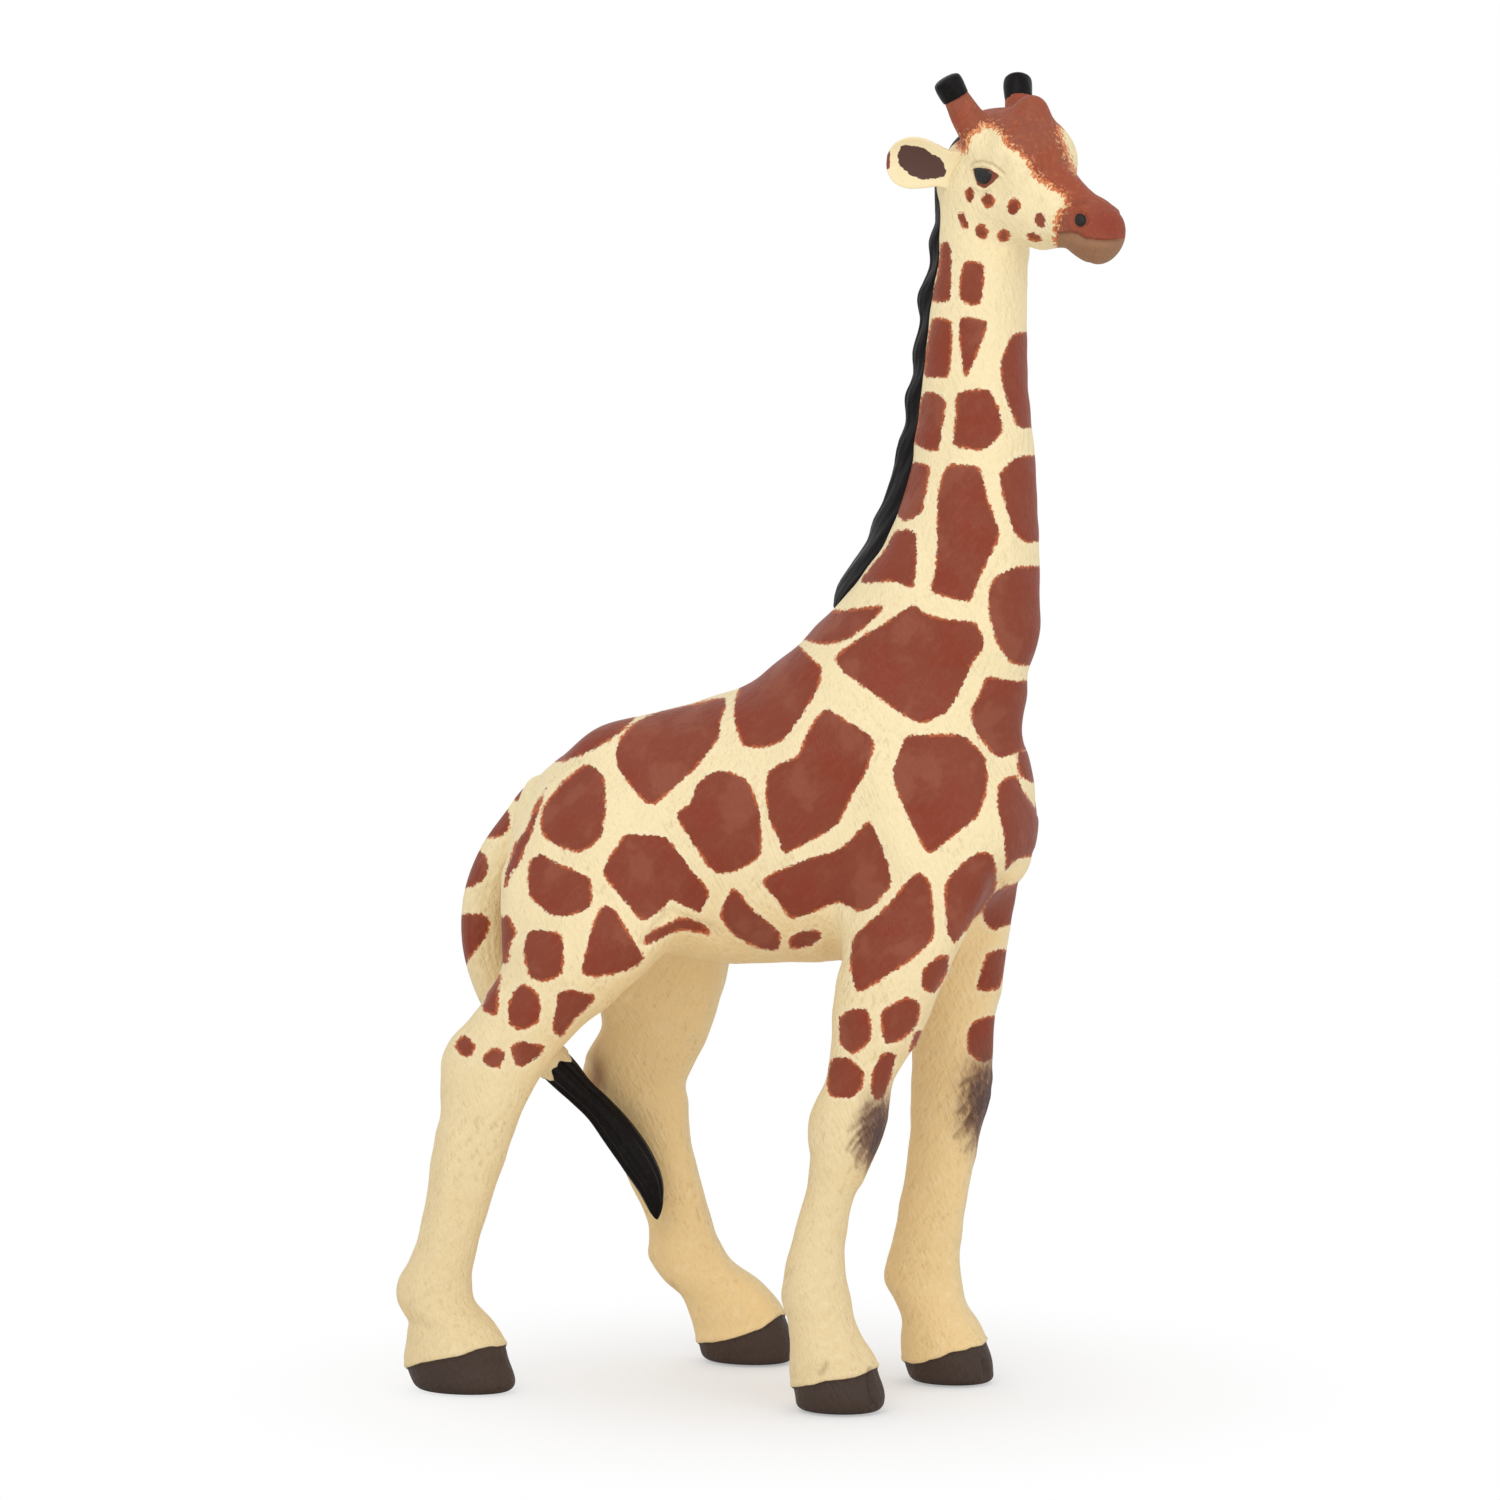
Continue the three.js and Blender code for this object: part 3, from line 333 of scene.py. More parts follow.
# %% [markdown]
# ## Legs
# A leg is a loft read by height. Each row gives how far forward of its shoulder or hip the leg's middle
# lies, how far aside, and the half depth and half width of its oval. The four legs are all different,
# because the animal walks.

# %% Sizes of the legs and the two front ones
WITHERS_HEIGHT = 100.0
LEG_DEPTH = 10.0
LEG_WIDTH = 10.0
SHOULDER = (20.0, 9.0)
HIP = (-25.0, 7.0)
# Rows, in thousandths: height, stride forward and spread aside in withers' heights, half depth, half width
LEG_SHARES = {"right_front_leg": [
    (0, -94, 42, 600, 520), (20, -94, 42, 620, 530), (45, -100, 42, 610, 520), (68, -104, 42, 560, 510),
    (90, -112, 41, 480, 470), (116, -120, 40, 440, 430), (142, -127, 39, 450, 420),
    (168, -129, 38, 420, 400), (194, -128, 37, 380, 370), (221, -124, 36, 350, 350),
    (274, -112, 34, 320, 340), (300, -104, 33, 340, 360), (327, -95, 32, 400, 400),
    (353, -91, 31, 470, 430), (379, -87, 30, 510, 440), (406, -80, 29, 480, 440), (432, -71, 28, 450, 440),
    (459, -62, 26, 500, 460), (485, -53, 23, 570, 490), (538, -41, 18, 680, 540), (590, -25, 10, 740, 580),
    (660, -6, -4, 840, 580), (760, 14, -18, 900, 560), (860, -10, -32, 700, 440),
], "left_front_leg": [
    (0, -16, 34, 600, 520), (28, -21, 34, 620, 530), (55, -27, 34, 590, 510), (82, -33, 34, 510, 470),
    (108, -47, 34, 480, 440), (134, -57, 34, 520, 430), (162, -56, 33, 490, 410), (189, -51, 32, 460, 390),
    (243, -41, 30, 450, 380), (297, -31, 28, 450, 390), (351, -22, 26, 480, 420), (405, -14, 24, 540, 440),
    (432, -13, 23, 540, 440), (485, -12, 21, 560, 480), (538, -9, 17, 640, 540), (590, -8, 10, 720, 580),
    (660, 0, -4, 800, 580), (760, 14, -18, 880, 560), (860, -10, -32, 700, 440),
]}
print("front leg rows:", [len(rows) for rows in LEG_SHARES.values()])

# %% The two hind legs
LEG_SHARES["right_hind_leg"] = [
    (0, -162, 72, 700, 540), (13, -164, 72, 730, 550), (39, -172, 72, 730, 550), (66, -174, 72, 670, 520),
    (92, -182, 72, 580, 480), (118, -202, 72, 520, 450), (145, -203, 72, 490, 430),
    (172, -194, 71, 440, 400), (199, -186, 70, 420, 380), (253, -172, 68, 440, 370),
    (307, -159, 65, 500, 390), (361, -144, 62, 540, 410), (415, -131, 59, 670, 430),
    (442, -121, 57, 760, 450), (469, -103, 54, 800, 480), (496, -77, 50, 810, 520),
    (551, -26, 42, 890, 600), (600, -4, 34, 1100, 660), (680, 0, 16, 1220, 660), (760, 10, 2, 1060, 600),
    (830, 30, -20, 660, 440),
]
LEG_SHARES["left_hind_leg"] = [
    (0, 124, 124, 660, 520), (30, 120, 124, 690, 530), (57, 112, 123, 680, 510), (84, 99, 121, 670, 480),
    (110, 73, 118, 680, 460), (137, 44, 115, 580, 430), (164, 36, 112, 480, 410), (191, 30, 110, 440, 390),
    (245, 11, 103, 500, 390), (299, -6, 95, 560, 400), (354, -18, 87, 670, 420), (381, -25, 83, 720, 440),
    (409, -17, 79, 770, 470), (464, 14, 67, 750, 530), (520, 16, 53, 930, 600), (570, 18, 42, 1020, 660),
    (640, 8, 24, 1160, 660), (720, 8, 6, 1120, 620), (820, 30, -18, 720, 460),
]


def shares_of(thousandths):
    """A table of thousandths as shares of one."""
    return np.array(thousandths) / 1000


def leg_rows(shares, top, side):
    """Rows in mm: heights and strides times the withers' height, thickness times its own sizes."""
    height, forward, aside, half_depth, half_width = shares_of(shares).T
    return np.stack([
        height * WITHERS_HEIGHT,
        top[0] + forward * WITHERS_HEIGHT,
        side * (top[1] + aside * WITHERS_HEIGHT),
        half_depth * LEG_DEPTH,
        half_width * LEG_WIDTH,
    ], 1)


LEGS = {name: leg_rows(shares, SHOULDER if "front" in name else HIP, -1 if "right" in name else 1)
        for name, shares in LEG_SHARES.items()}
ROOM = 9.0
OUT_OF_REACH = 60.0


def only_near(form, low, high):
    """The form's depth inside a box with some room round it, and one large depth outside, to save work."""
    low, high = np.array(low, float) - ROOM, np.array(high, float) + ROOM

    def near_form(p):
        close = ((p > low) & (p < high)).all(1)
        depth = np.full(len(p), OUT_OF_REACH)
        if close.any():
            depth[close] = form(p[close])
        return depth

    return near_form


def extent(rows):
    """Least and greatest place forward and aside of the ovals of some rows."""
    return (rows[:, 1:3] - rows[:, 3:5]).min(0), (rows[:, 1:3] + rows[:, 3:5]).max(0)


def leg_form(rows):
    """Loft of one leg, worked out only near the leg."""
    low, high = extent(rows)
    return only_near(loft_form(rows, UP, LEG_WIDTH / 2), np.append(low, 0), np.append(high, rows[-1, 0]))


LEG_FORMS = {name: leg_form(rows) for name, rows in LEGS.items()}
print("legs:", {name: len(rows) for name, rows in LEGS.items()})

# %% [markdown]
# ## Trunk and neck
# The barrel is read along its length and the neck by height. The neck grows out of the withers with a
# wide smooth union, so that the back runs up in one sweep.

# %% Trunk and neck
TRUNK_LENGTH = 75.0
TRUNK_DEPTH = 40.0
TRUNK_WIDTH = 28.0
TRUNK_CAP = 3.6
BELLY_HEIGHT = 0.57 * WITHERS_HEIGHT
NECK_LENGTH = 60.0
NECK_DEPTH = 12.0
NECK_WIDTH = 11.5
NECK_FORWARD = 25.0
NECK_FOOT = BELLY_HEIGHT + TRUNK_DEPTH
# Boxes that hold the trunk and the neck
TRUNK_BOX = ((-42, -15, 55), (36, 15, 100))
NECK_BOX = ((-6, -12, 80), (36, 12, 163))
# Rows, in thousandths: place along the trunk, height of its middle, half width, half depth
TRUNK_SHARES = [
    (-470, 400, 220, 200), (-430, 405, 310, 260), (-360, 410, 390, 315), (-250, 420, 450, 395),
    (-120, 440, 480, 450), (0, 480, 490, 480), (107, 515, 480, 505), (200, 545, 450, 500),
    (280, 530, 390, 425), (335, 492, 320, 314), (391, 475, 230, 208),
]
# Rows, in thousandths: height above the foot of the neck, place forward, half depth, half width
NECK_SHARES = [
    (-180, -480, 1420, 960), (-83, -405, 1390, 970), (-17, -378, 1370, 950), (67, -268, 1260, 900),
    (150, -178, 1060, 850), (267, -78, 850, 770), (355, -36, 740, 700), (442, -14, 670, 640),
    (617, -6, 570, 560), (783, 10, 520, 500), (883, 30, 490, 480), (1000, 46, 480, 480),
]

along, height, half_width, half_depth = shares_of(TRUNK_SHARES).T
trunk_rows = np.stack([
    along * TRUNK_LENGTH, 0 * along, BELLY_HEIGHT + height * TRUNK_DEPTH,
    half_width * TRUNK_WIDTH, half_depth * TRUNK_DEPTH,
], 1)
height, forward, half_depth, half_width = shares_of(NECK_SHARES).T
neck_rows = np.stack([
    NECK_FOOT + height * NECK_LENGTH, NECK_FORWARD * (1 + forward), 0 * height,
    half_depth * NECK_DEPTH, half_width * NECK_WIDTH,
], 1)
trunk_form = only_near(loft_form(trunk_rows, FORWARD, TRUNK_CAP), *TRUNK_BOX)
neck_form = only_near(loft_form(neck_rows, UP, NECK_DEPTH / 2), *NECK_BOX)
print("trunk", TRUNK_LENGTH, "mm long, neck", NECK_LENGTH, "mm long")

# %% [markdown]
# ## Head
# The skull has a frame of its own, turned toward the camera and nodding. In that frame it is a loft along
# the nose, with mounds for the forehead and brows and a cone for each horn.

# %% Head
HEAD_LENGTH = 32.0
HEAD_DEPTH = 16.0
HEAD_WIDTH = 13.0
HEAD_TURN, HEAD_NOD, HEAD_TILT = np.radians([-22.0, 24.0, 5.0])
HEAD_SIZE = np.array([HEAD_LENGTH, HEAD_WIDTH, HEAD_DEPTH])
HEAD_PLACE = np.array([1.08 * NECK_FORWARD, -0.024 * NECK_FORWARD, NECK_FOOT + 1.067 * NECK_LENGTH])
NOSE_ROUNDING = 2.6
HORN_RADIUS = 1.85
HORN_WAY = np.array([-0.632, 0.356, 0.688])
HORN_SHAFT = 7.0
HORN_SEAT = 0.35
HORN_BLEND = 1.5
# The seam under a horn's black tip, in shares of the head's sizes
HORN_SEAM = (-0.105, 0.46, 0.545)
# Radius of a horn's foot and of its seam in shares of the horn's radius; the far horn is a little stouter
HORN_FLARE = np.array([1.44, 0.90])
HORN_UNLIKE = 0.06
# The two horns were pressed on a little unevenly: the shift of each one's seam in mm
HORN_SHIFTS = {-1: (-0.45, -0.30, 0.20), 1: (0.0, 0.30, -0.90)}
FACE_BLEND = 2.5
HEAD_BOX = ((20, -15, 150), (52, 8, 176))
# Mounds: middle and half sizes in shares of the head's sizes
FOREHEAD = ((0.14, 0, 0.40), (0.16, 0.42, 0.19))
CROWN = ((-0.03, 0, 0.322), (0.11, 0.30, 0.17))
BROW = ((0.185, 0.315, 0.25), (0.11, 0.16, 0.16))
BETWEEN_HORNS = ((0.105, 0.04, 0.585), (0.070, 0.18, 0.15))
# Rows, in thousandths: place along the head, height of its middle, half width, half depth
HEAD_SHARES = [
    (-115, -85, 330, 290), (-70, -40, 410, 380), (0, 5, 480, 455), (125, 40, 490, 500), (250, 10, 430, 440),
    (365, -30, 340, 360), (437, -15, 300, 285), (500, -10, 280, 250), (560, -20, 295, 255),
    (600, -30, 290, 250), (625, -36, 265, 232),
]


def turn(axis, angle):
    """Rotation about one axis by an angle, as a 3 by 3 matrix."""
    a, b = (axis + 1) % 3, (axis + 2) % 3
    matrix = np.eye(3)
    matrix[a, a] = matrix[b, b] = math.cos(angle)
    matrix[b, a], matrix[a, b] = math.sin(angle), -math.sin(angle)
    return matrix


HEAD_AXES = turn(2, HEAD_TURN) @ turn(1, HEAD_NOD) @ turn(0, HEAD_TILT)


def into_head(p):
    """Sculpt places in the head's own frame: nose, its left, crown."""
    return (p - HEAD_PLACE) @ HEAD_AXES


def out_of_head(q):
    """Places in the head's own frame back in the sculpt."""
    return q @ HEAD_AXES.T + HEAD_PLACE


def head_point(shares, side):
    """A place from shares of the head's sizes, on its left (1) or right (-1) side."""
    return np.array(shares) * HEAD_SIZE * (1, side, 1)


def mound(place_shares, size_shares, side):
    """Ellipsoid at a place on the head, both in shares of its sizes."""
    middle, half_sizes = head_point(place_shares, side), np.array(size_shares) * HEAD_SIZE
    return lambda q: ellipsoid_depth(q - middle, half_sizes)


def horn_axis(side):
    """Root of a horn, the seam under its black tip, and the way it points."""
    seam = head_point(HORN_SEAM, side) + HORN_SHIFTS[side]
    way = HORN_WAY * (1, side, 1)
    return seam - way * HORN_SHAFT, seam, way


along, height, half_width, half_depth = shares_of(HEAD_SHARES).T
skull_rows = np.stack([
    along * HEAD_LENGTH, 0 * along, height * HEAD_DEPTH, half_width * HEAD_WIDTH, half_depth * HEAD_DEPTH,
], 1)
FACE_FORMS = [loft_form(skull_rows, FORWARD, NOSE_ROUNDING), mound(*FOREHEAD, 1), mound(*CROWN, 1)]
HORN_FORMS = [mound(*BETWEEN_HORNS, 1)]
for side in (-1, 1):
    root, seam, way = horn_axis(side)
    FACE_FORMS.append(mound(*BROW, side))
    HORN_FORMS.append(cone_form(root, seam + way, *(HORN_FLARE + HORN_UNLIKE * side) * HORN_RADIUS))


def head_form(p):
    """Smooth union of the skull, forehead, brows and horns, with each horn cut flat at its seam."""
    q = into_head(p)
    depth = FACE_FORMS[0](q)
    for form in FACE_FORMS[1:]:
        depth = smooth_union(depth, form(q), FACE_BLEND)
    for form in HORN_FORMS:
        depth = smooth_union(depth, form(q), HORN_BLEND)
    for side in (-1, 1):
        _, seam, way = horn_axis(side)
        past = (q - seam) @ way - HORN_SEAT
        aside = np.linalg.norm(q - seam - ((q - seam) @ way)[:, None] * way, axis=1)
        depth = np.where(aside < 2 * HORN_RADIUS, np.maximum(depth, past), depth)
    return depth


print("head at", HEAD_PLACE.round(1))

# %% The whole animal as one depth
LIMB_BLEND = 5.0
NECK_BLEND = 7.0
near_head_form = only_near(head_form, *HEAD_BOX)


def figure_form(p):
    """Trunk and neck, then the legs, then the head, each smoothly joined to the rest."""
    depth = smooth_union(trunk_form(p), neck_form(p), NECK_BLEND)
    for form in LEG_FORMS.values():
        depth = smooth_union(depth, form(p), LIMB_BLEND)
    return smooth_union(depth, near_head_form(p), FACE_BLEND)


print("depth at the barrel's middle:", figure_form(np.array([[0.0, 0.0, 76.0]])).round(2), "mm")

# %% [markdown]
# ## From depth to skin
# The space round a casting is divided into small cells. Each cell that the skin crosses gets one point,
# and four points round each crossed cell edge make a face. The points then slide down the slope of the
# depth until they lie on the skin. All of it is done on whole arrays, and only near the skin.

# %% Depths on a grid
BLOCK = 4
POINTS_AT_ONCE = 200000
PROBE = 0.04
# A block is close to the skin where its depth is under this many of its sides, plus some room in mm
CLOSE_SIDES, CLOSE_ROOM = 1.3, 1.0


def depth_slope(form, places):
    """Slope of the depth: differences over a short probe each way along each axis."""
    steps = np.eye(3) * PROBE
    return np.stack([(form(places + step) - form(places - step)) / (2 * PROBE) for step in steps], 1)


def grid_depths(form, low, count, cell):
    """Depth at each grid corner: exact near the skin, and the depth of a coarse block elsewhere."""
    blocks = [(n + BLOCK - 1) // BLOCK for n in count]
    side = cell * BLOCK
    axes = [low[k] + side * (np.arange(blocks[k]) + 0.5) for k in range(3)]
    coarse = form(np.stack(np.meshgrid(*axes, indexing="ij"), -1).reshape(-1, 3)).reshape(blocks)

    def spread(values):
        """Each block's value at all its corners."""
        for axis in range(3):
            values = np.repeat(values, BLOCK, axis)
        return values[: count[0], : count[1], : count[2]]

    depths, close = spread(coarse), np.argwhere(spread(np.abs(coarse) < side * CLOSE_SIDES + CLOSE_ROOM))
    parts = np.array_split(close, len(close) // POINTS_AT_ONCE + 1)
    depths[tuple(close.T)] = np.concatenate([form(low + part * cell) for part in parts])
    return depths


print("grid blocks of", BLOCK, "cells a side")

# %% From the grid to the skin
SETTLE_ROUNDS = 2
LEAST_SLOPE = 0.25


def edge_crossings(depths, axis):
    """Grid edges along an axis that the skin crosses: the four cells round each, the place of the crossing
    on the grid, four times, and whether the edge starts inside."""
    here, there = np.moveaxis(depths, axis, 0)[:-1], np.moveaxis(depths, axis, 0)[1:]
    found = np.argwhere((here < 0) != (there < 0))
    start, end = here[tuple(found.T)], there[tuple(found.T)]
    corner = np.insert(found[:, 1:], axis, found[:, 0], axis=1)
    crossing = corner.astype(float)
    crossing[:, axis] += start / (start - end)
    ring = np.repeat(corner[:, None, :], 4, axis=1)
    ring[:, (1, 2), (axis + 1) % 3] -= 1
    ring[:, (2, 3), (axis + 2) % 3] -= 1
    keys = np.ravel_multi_index(np.moveaxis(ring, 2, 0), depths.shape)
    return keys, np.repeat(crossing[:, None, :], 4, axis=1), start < 0


def sums_by(index, values, count):
    """Sum of the values' three columns for each number of an index."""
    return np.stack([np.bincount(index, values[:, k], count) for k in range(3)], 1)


def even_out(places, faces):
    """Each point moves to the middle of its neighbours round the faces."""
    start, end = faces.ravel(), np.roll(faces, -1, axis=1).ravel()
    hits = np.bincount(start, minlength=len(places))[:, None]
    return sums_by(start, places[end], len(places)) / hits


def settle(form, places, cell):
    """Newton's step down the slope: depth over slope squared, no longer than half a cell."""
    for _ in range(SETTLE_ROUNDS):
        slope = depth_slope(form, places)
        step = (form(places) / np.maximum((slope**2).sum(1), LEAST_SLOPE))[:, None] * slope
        length = np.linalg.norm(step, axis=1, keepdims=True) + 1e-12
        places = places - step * np.minimum(1, 0.5 * cell / length)
    return places


def skin_of(open_form, low, high, cell):
    """Points and four-sided faces of the skin of a form, closed at a box, with cells of one size."""
    low, high = np.array(low, float), np.array(high, float)
    count = np.ceil((high - low) / cell).astype(int) + 2

    def form(p):
        return np.maximum(open_form(p), np.maximum(low + cell - p, p - high).max(1))

    depths = grid_depths(form, low, count, cell)
    keys, crossings, inside = zip(*(edge_crossings(depths, axis) for axis in range(3)))
    cells, faces = np.unique(np.concatenate(keys), return_inverse=True)
    faces = faces.reshape(-1, 4)
    hits = np.bincount(faces.ravel(), minlength=len(cells))[:, None]
    sums = sums_by(faces.ravel(), np.concatenate(crossings).reshape(-1, 3), len(cells))
    # Faces point outwards, also where the edge starts outside
    flipped = ~np.concatenate(inside)
    faces[flipped] = faces[flipped][:, ::-1]
    places = settle(form, low + sums / hits * cell, cell)
    return settle(form, even_out(places, faces), cell), faces


def mesh_piece(name, places, faces):
    """Puts an object's places (sculpt mm) and faces in a smooth-shaded mesh in metres."""
    mesh = bpy.data.meshes.new(name)
    mesh.from_pydata(to_frame(places).tolist(), [], list(map(list, faces)))
    mesh.shade_smooth()
    mesh.update()
    return put_in_scene(name, mesh)


print("skin finder ready")

# %% [markdown]
# ## Seven castings from one skin
# Torso, neck, head and the four legs share the figure's skin, because their real seams are filled and
# painted over. Each casting keeps that skin up to its seam. Past the seam it dips under its neighbour,
# gently at first, and closes a little further on, so both castings are whole and no line shows.

# %% Seams
LEG_SEAM_HEIGHT = 0.556 * WITHERS_HEIGHT
MIDDLE_FORWARD = 0.03 * TRUNK_LENGTH
DIP_DEPTH = 0.35
DIP_LENGTH = 1.6
SOLE_ROUNDING = 1.8
# Room round a leg, the height under which its rows count, and the room past its ends
LEG_ROOM = 4.0
LEG_ROWS_BELOW = 62.0
END_ROOM = 0.7


def plane(point, way):
    """Distance past a plane, from a point on it and the way it faces."""
    way = unit(np.array(way, float))
    return lambda p: (p - np.array(point, float)) @ way


neck_seam = plane((0.8 * NECK_FORWARD, 0, NECK_FOOT + 0.085 * NECK_LENGTH), (0.27, 0, 1))
head_seam = plane((1.03 * NECK_FORWARD, 0, HEAD_PLACE[2] - 0.65 * HEAD_DEPTH), (0.2, 0, 1))
leg_seam = plane((0, 0, LEG_SEAM_HEIGHT), (0, 0, 1))


def kept(seams):
    """The figure's skin, dipping past the given seams and closed a little further on."""
    def form(p):
        depth = figure_form(p)
        for seam, side in seams:
            past = side * seam(p)
            share = np.clip(past / DIP_LENGTH, 0, 1)
            depth = np.maximum(depth + DIP_DEPTH * share**2, past - DIP_LENGTH)
        return depth

    return form


def standing(form):
    """A form that ends in a flat sole at the floor, with its edge a little rounded."""
    return lambda p: -smooth_union(-form(p), p[:, 2], SOLE_ROUNDING)


def leg_box(name):
    """Room round a leg below its seam, kept off the other legs."""
    low, high = extent(LEGS[name][LEGS[name][:, 0] < LEG_ROWS_BELOW])
    low = np.append(low - LEG_ROOM, -END_ROOM)
    high = np.append(high + LEG_ROOM, LEG_SEAM_HEIGHT + DIP_LENGTH + END_ROOM)
    if "front" in name:
        low[0] = max(low[0], MIDDLE_FORWARD)
    else:
        high[0] = min(high[0], MIDDLE_FORWARD)
    if "left" in name:
        low[1] = max(low[1], 0.0)
    else:
        high[1] = min(high[1], 0.0)
    return low, high


# Cell sizes in mm: finest where the eye and lips are, fine for the wrinkles of the front knees
CELLS = {"torso": 0.42, "neck": 0.36, "head": 0.19, "front_leg": 0.24, "hind_leg": 0.30}
# Form, lower and upper corner of its box, and cell size of each casting
CASTINGS = {
    "torso": (kept([(leg_seam, -1), (neck_seam, 1)]), (-47, -22, 52), (42, 22, 112), CELLS["torso"]),
    "neck": (kept([(neck_seam, -1), (head_seam, 1)]), (-3, -15, 92), (44, 15, 155), CELLS["neck"]),
    "head": (kept([(head_seam, -1)]), (13, -20, 145), (54, 14, 176), CELLS["head"]),
}
for name in LEGS:
    CASTINGS[name] = (standing(kept([(leg_seam, 1)])), *leg_box(name), CELLS[name.split("_", 1)[1]])
skins = {}
for name, (form, low, high, cell) in CASTINGS.items():
    skins[name] = skin_of(form, low, high, cell)
    print(name, len(skins[name][1]) * 2, "triangles")

# %% [markdown]
# ## The coat: patches laid out by hand
# The painter lays each brown patch on by hand, so no two are alike and no noise pattern would give them.
# The patches are closed outlines, chosen on enlarged parts of the photograph. Each sheet below names
# the picture corner of its part and its enlargement. Its points are pixels on it, across and down in turn.
# A smooth curve runs through the points of each outline.

# %% Patches on the neck
NECK_SHEET = {"corner": (820, 230), "enlarged": 4.02, "outlines": [
    [485, 60, 520, 62, 515, 280, 448, 278, 470, 180],
    [575, 135, 655, 142, 645, 290, 600, 298, 560, 270],
    [450, 365, 522, 372, 518, 520, 508, 588, 440, 590, 420, 570],
    [558, 358, 665, 368, 655, 430, 595, 578, 575, 570],
    [950, 400, 848, 410, 770, 425, 725, 540, 735, 640, 790, 785, 850, 795, 950, 800],
    [420, 655, 470, 660, 498, 690, 490, 760, 470, 880, 420, 880, 382, 850, 400, 720],
    [552, 658, 680, 648, 730, 800, 665, 880, 595, 878, 535, 862, 545, 760],
    [365, 938, 432, 952, 420, 1050, 405, 1130, 345, 1168, 312, 1140, 335, 1050],
    [520, 945, 620, 950, 650, 985, 670, 1080, 715, 1210, 690, 1290, 630, 1420, 600, 1490, 530, 1478,
     445, 1450, 465, 1350, 470, 1080, 490, 990],
    [970, 905, 868, 908, 790, 915, 720, 985, 745, 1120, 780, 1220, 830, 1255, 888, 1250, 980, 1240],
    [305, 1215, 382, 1220, 375, 1430, 290, 1410, 165, 1415, 250, 1300],
]}
print("neck patches:", len(NECK_SHEET["outlines"]))

# %% Patches on the shoulder, chest and upper front legs
SHOULDER_SHEET = {"corner": (720, 560), "enlarged": 3.409, "outlines": [
    [1180, 20, 1100, 22, 1000, 25, 950, 50, 920, 90, 920, 190, 950, 290, 990, 345, 1040, 358, 1150, 350],
    [560, 160, 480, 165, 385, 175, 330, 130, 240, 230, 300, 275, 360, 285, 430, 270, 490, 230],
    [655, 155, 700, 185, 780, 205, 870, 215, 900, 290, 860, 350, 820, 440, 770, 520, 680, 555, 600, 510,
     470, 415, 420, 380, 395, 330, 470, 270, 560, 220],
    [235, 270, 310, 335, 345, 370, 330, 440, 270, 540, 220, 610, 160, 635, 80, 632, 55, 560, 50, 490,
     70, 430, 130, 330],
    [365, 508, 430, 550, 470, 570, 525, 620, 500, 720, 450, 800, 400, 900, 340, 940, 225, 998, 200, 950,
     165, 860, 160, 740, 200, 700, 270, 670, 300, 590, 330, 540],
    [635, 605, 720, 597, 820, 598, 870, 635, 905, 680, 910, 770, 880, 870, 800, 935, 715, 1000, 680, 950,
     640, 870, 590, 735],
    [910, 402, 985, 412, 1055, 412, 1140, 405, 1140, 630, 1030, 650, 950, 672, 900, 620, 865, 570, 860, 510,
     885, 460],
    [510, 892, 545, 960, 580, 1060, 580, 1110, 520, 1180, 470, 1195, 400, 1170, 250, 1220, 210, 1180,
     150, 1105, 170, 1075, 300, 1020, 400, 990, 460, 940],
    [1010, 735, 1040, 790, 1085, 850, 1170, 890, 1170, 1000, 1060, 1010, 1000, 1030, 975, 1060, 970, 940,
     945, 830, 955, 760],
    [1020, 655, 1120, 650, 1160, 765, 1085, 765, 1040, 745, 1020, 720],
    [670, 1070, 715, 1100, 725, 1200, 725, 1290, 640, 1370, 480, 1470, 455, 1440, 445, 1370, 460, 1280,
     560, 1190],
    [880, 998, 930, 1010, 945, 1110, 900, 1180, 830, 1270, 800, 1305, 775, 1260, 768, 1110, 820, 1040],
    [1018, 1100, 1080, 1090, 1070, 1210, 960, 1250, 930, 1260, 900, 1230, 900, 1180, 940, 1130],
    [270, 1270, 335, 1265, 340, 1295, 290, 1320, 240, 1320, 240, 1290],
    [50, 1120, 110, 1190, 200, 1270, 195, 1330, 130, 1320, 50, 1280, 5, 1220, 15, 1170],
    [775, 1350, 775, 1400, 730, 1475, 690, 1455, 690, 1410, 720, 1370],
    [970, 1330, 970, 1400, 945, 1460, 885, 1465, 905, 1370, 930, 1335],
]}
print("shoulder patches:", len(SHOULDER_SHEET["outlines"]))

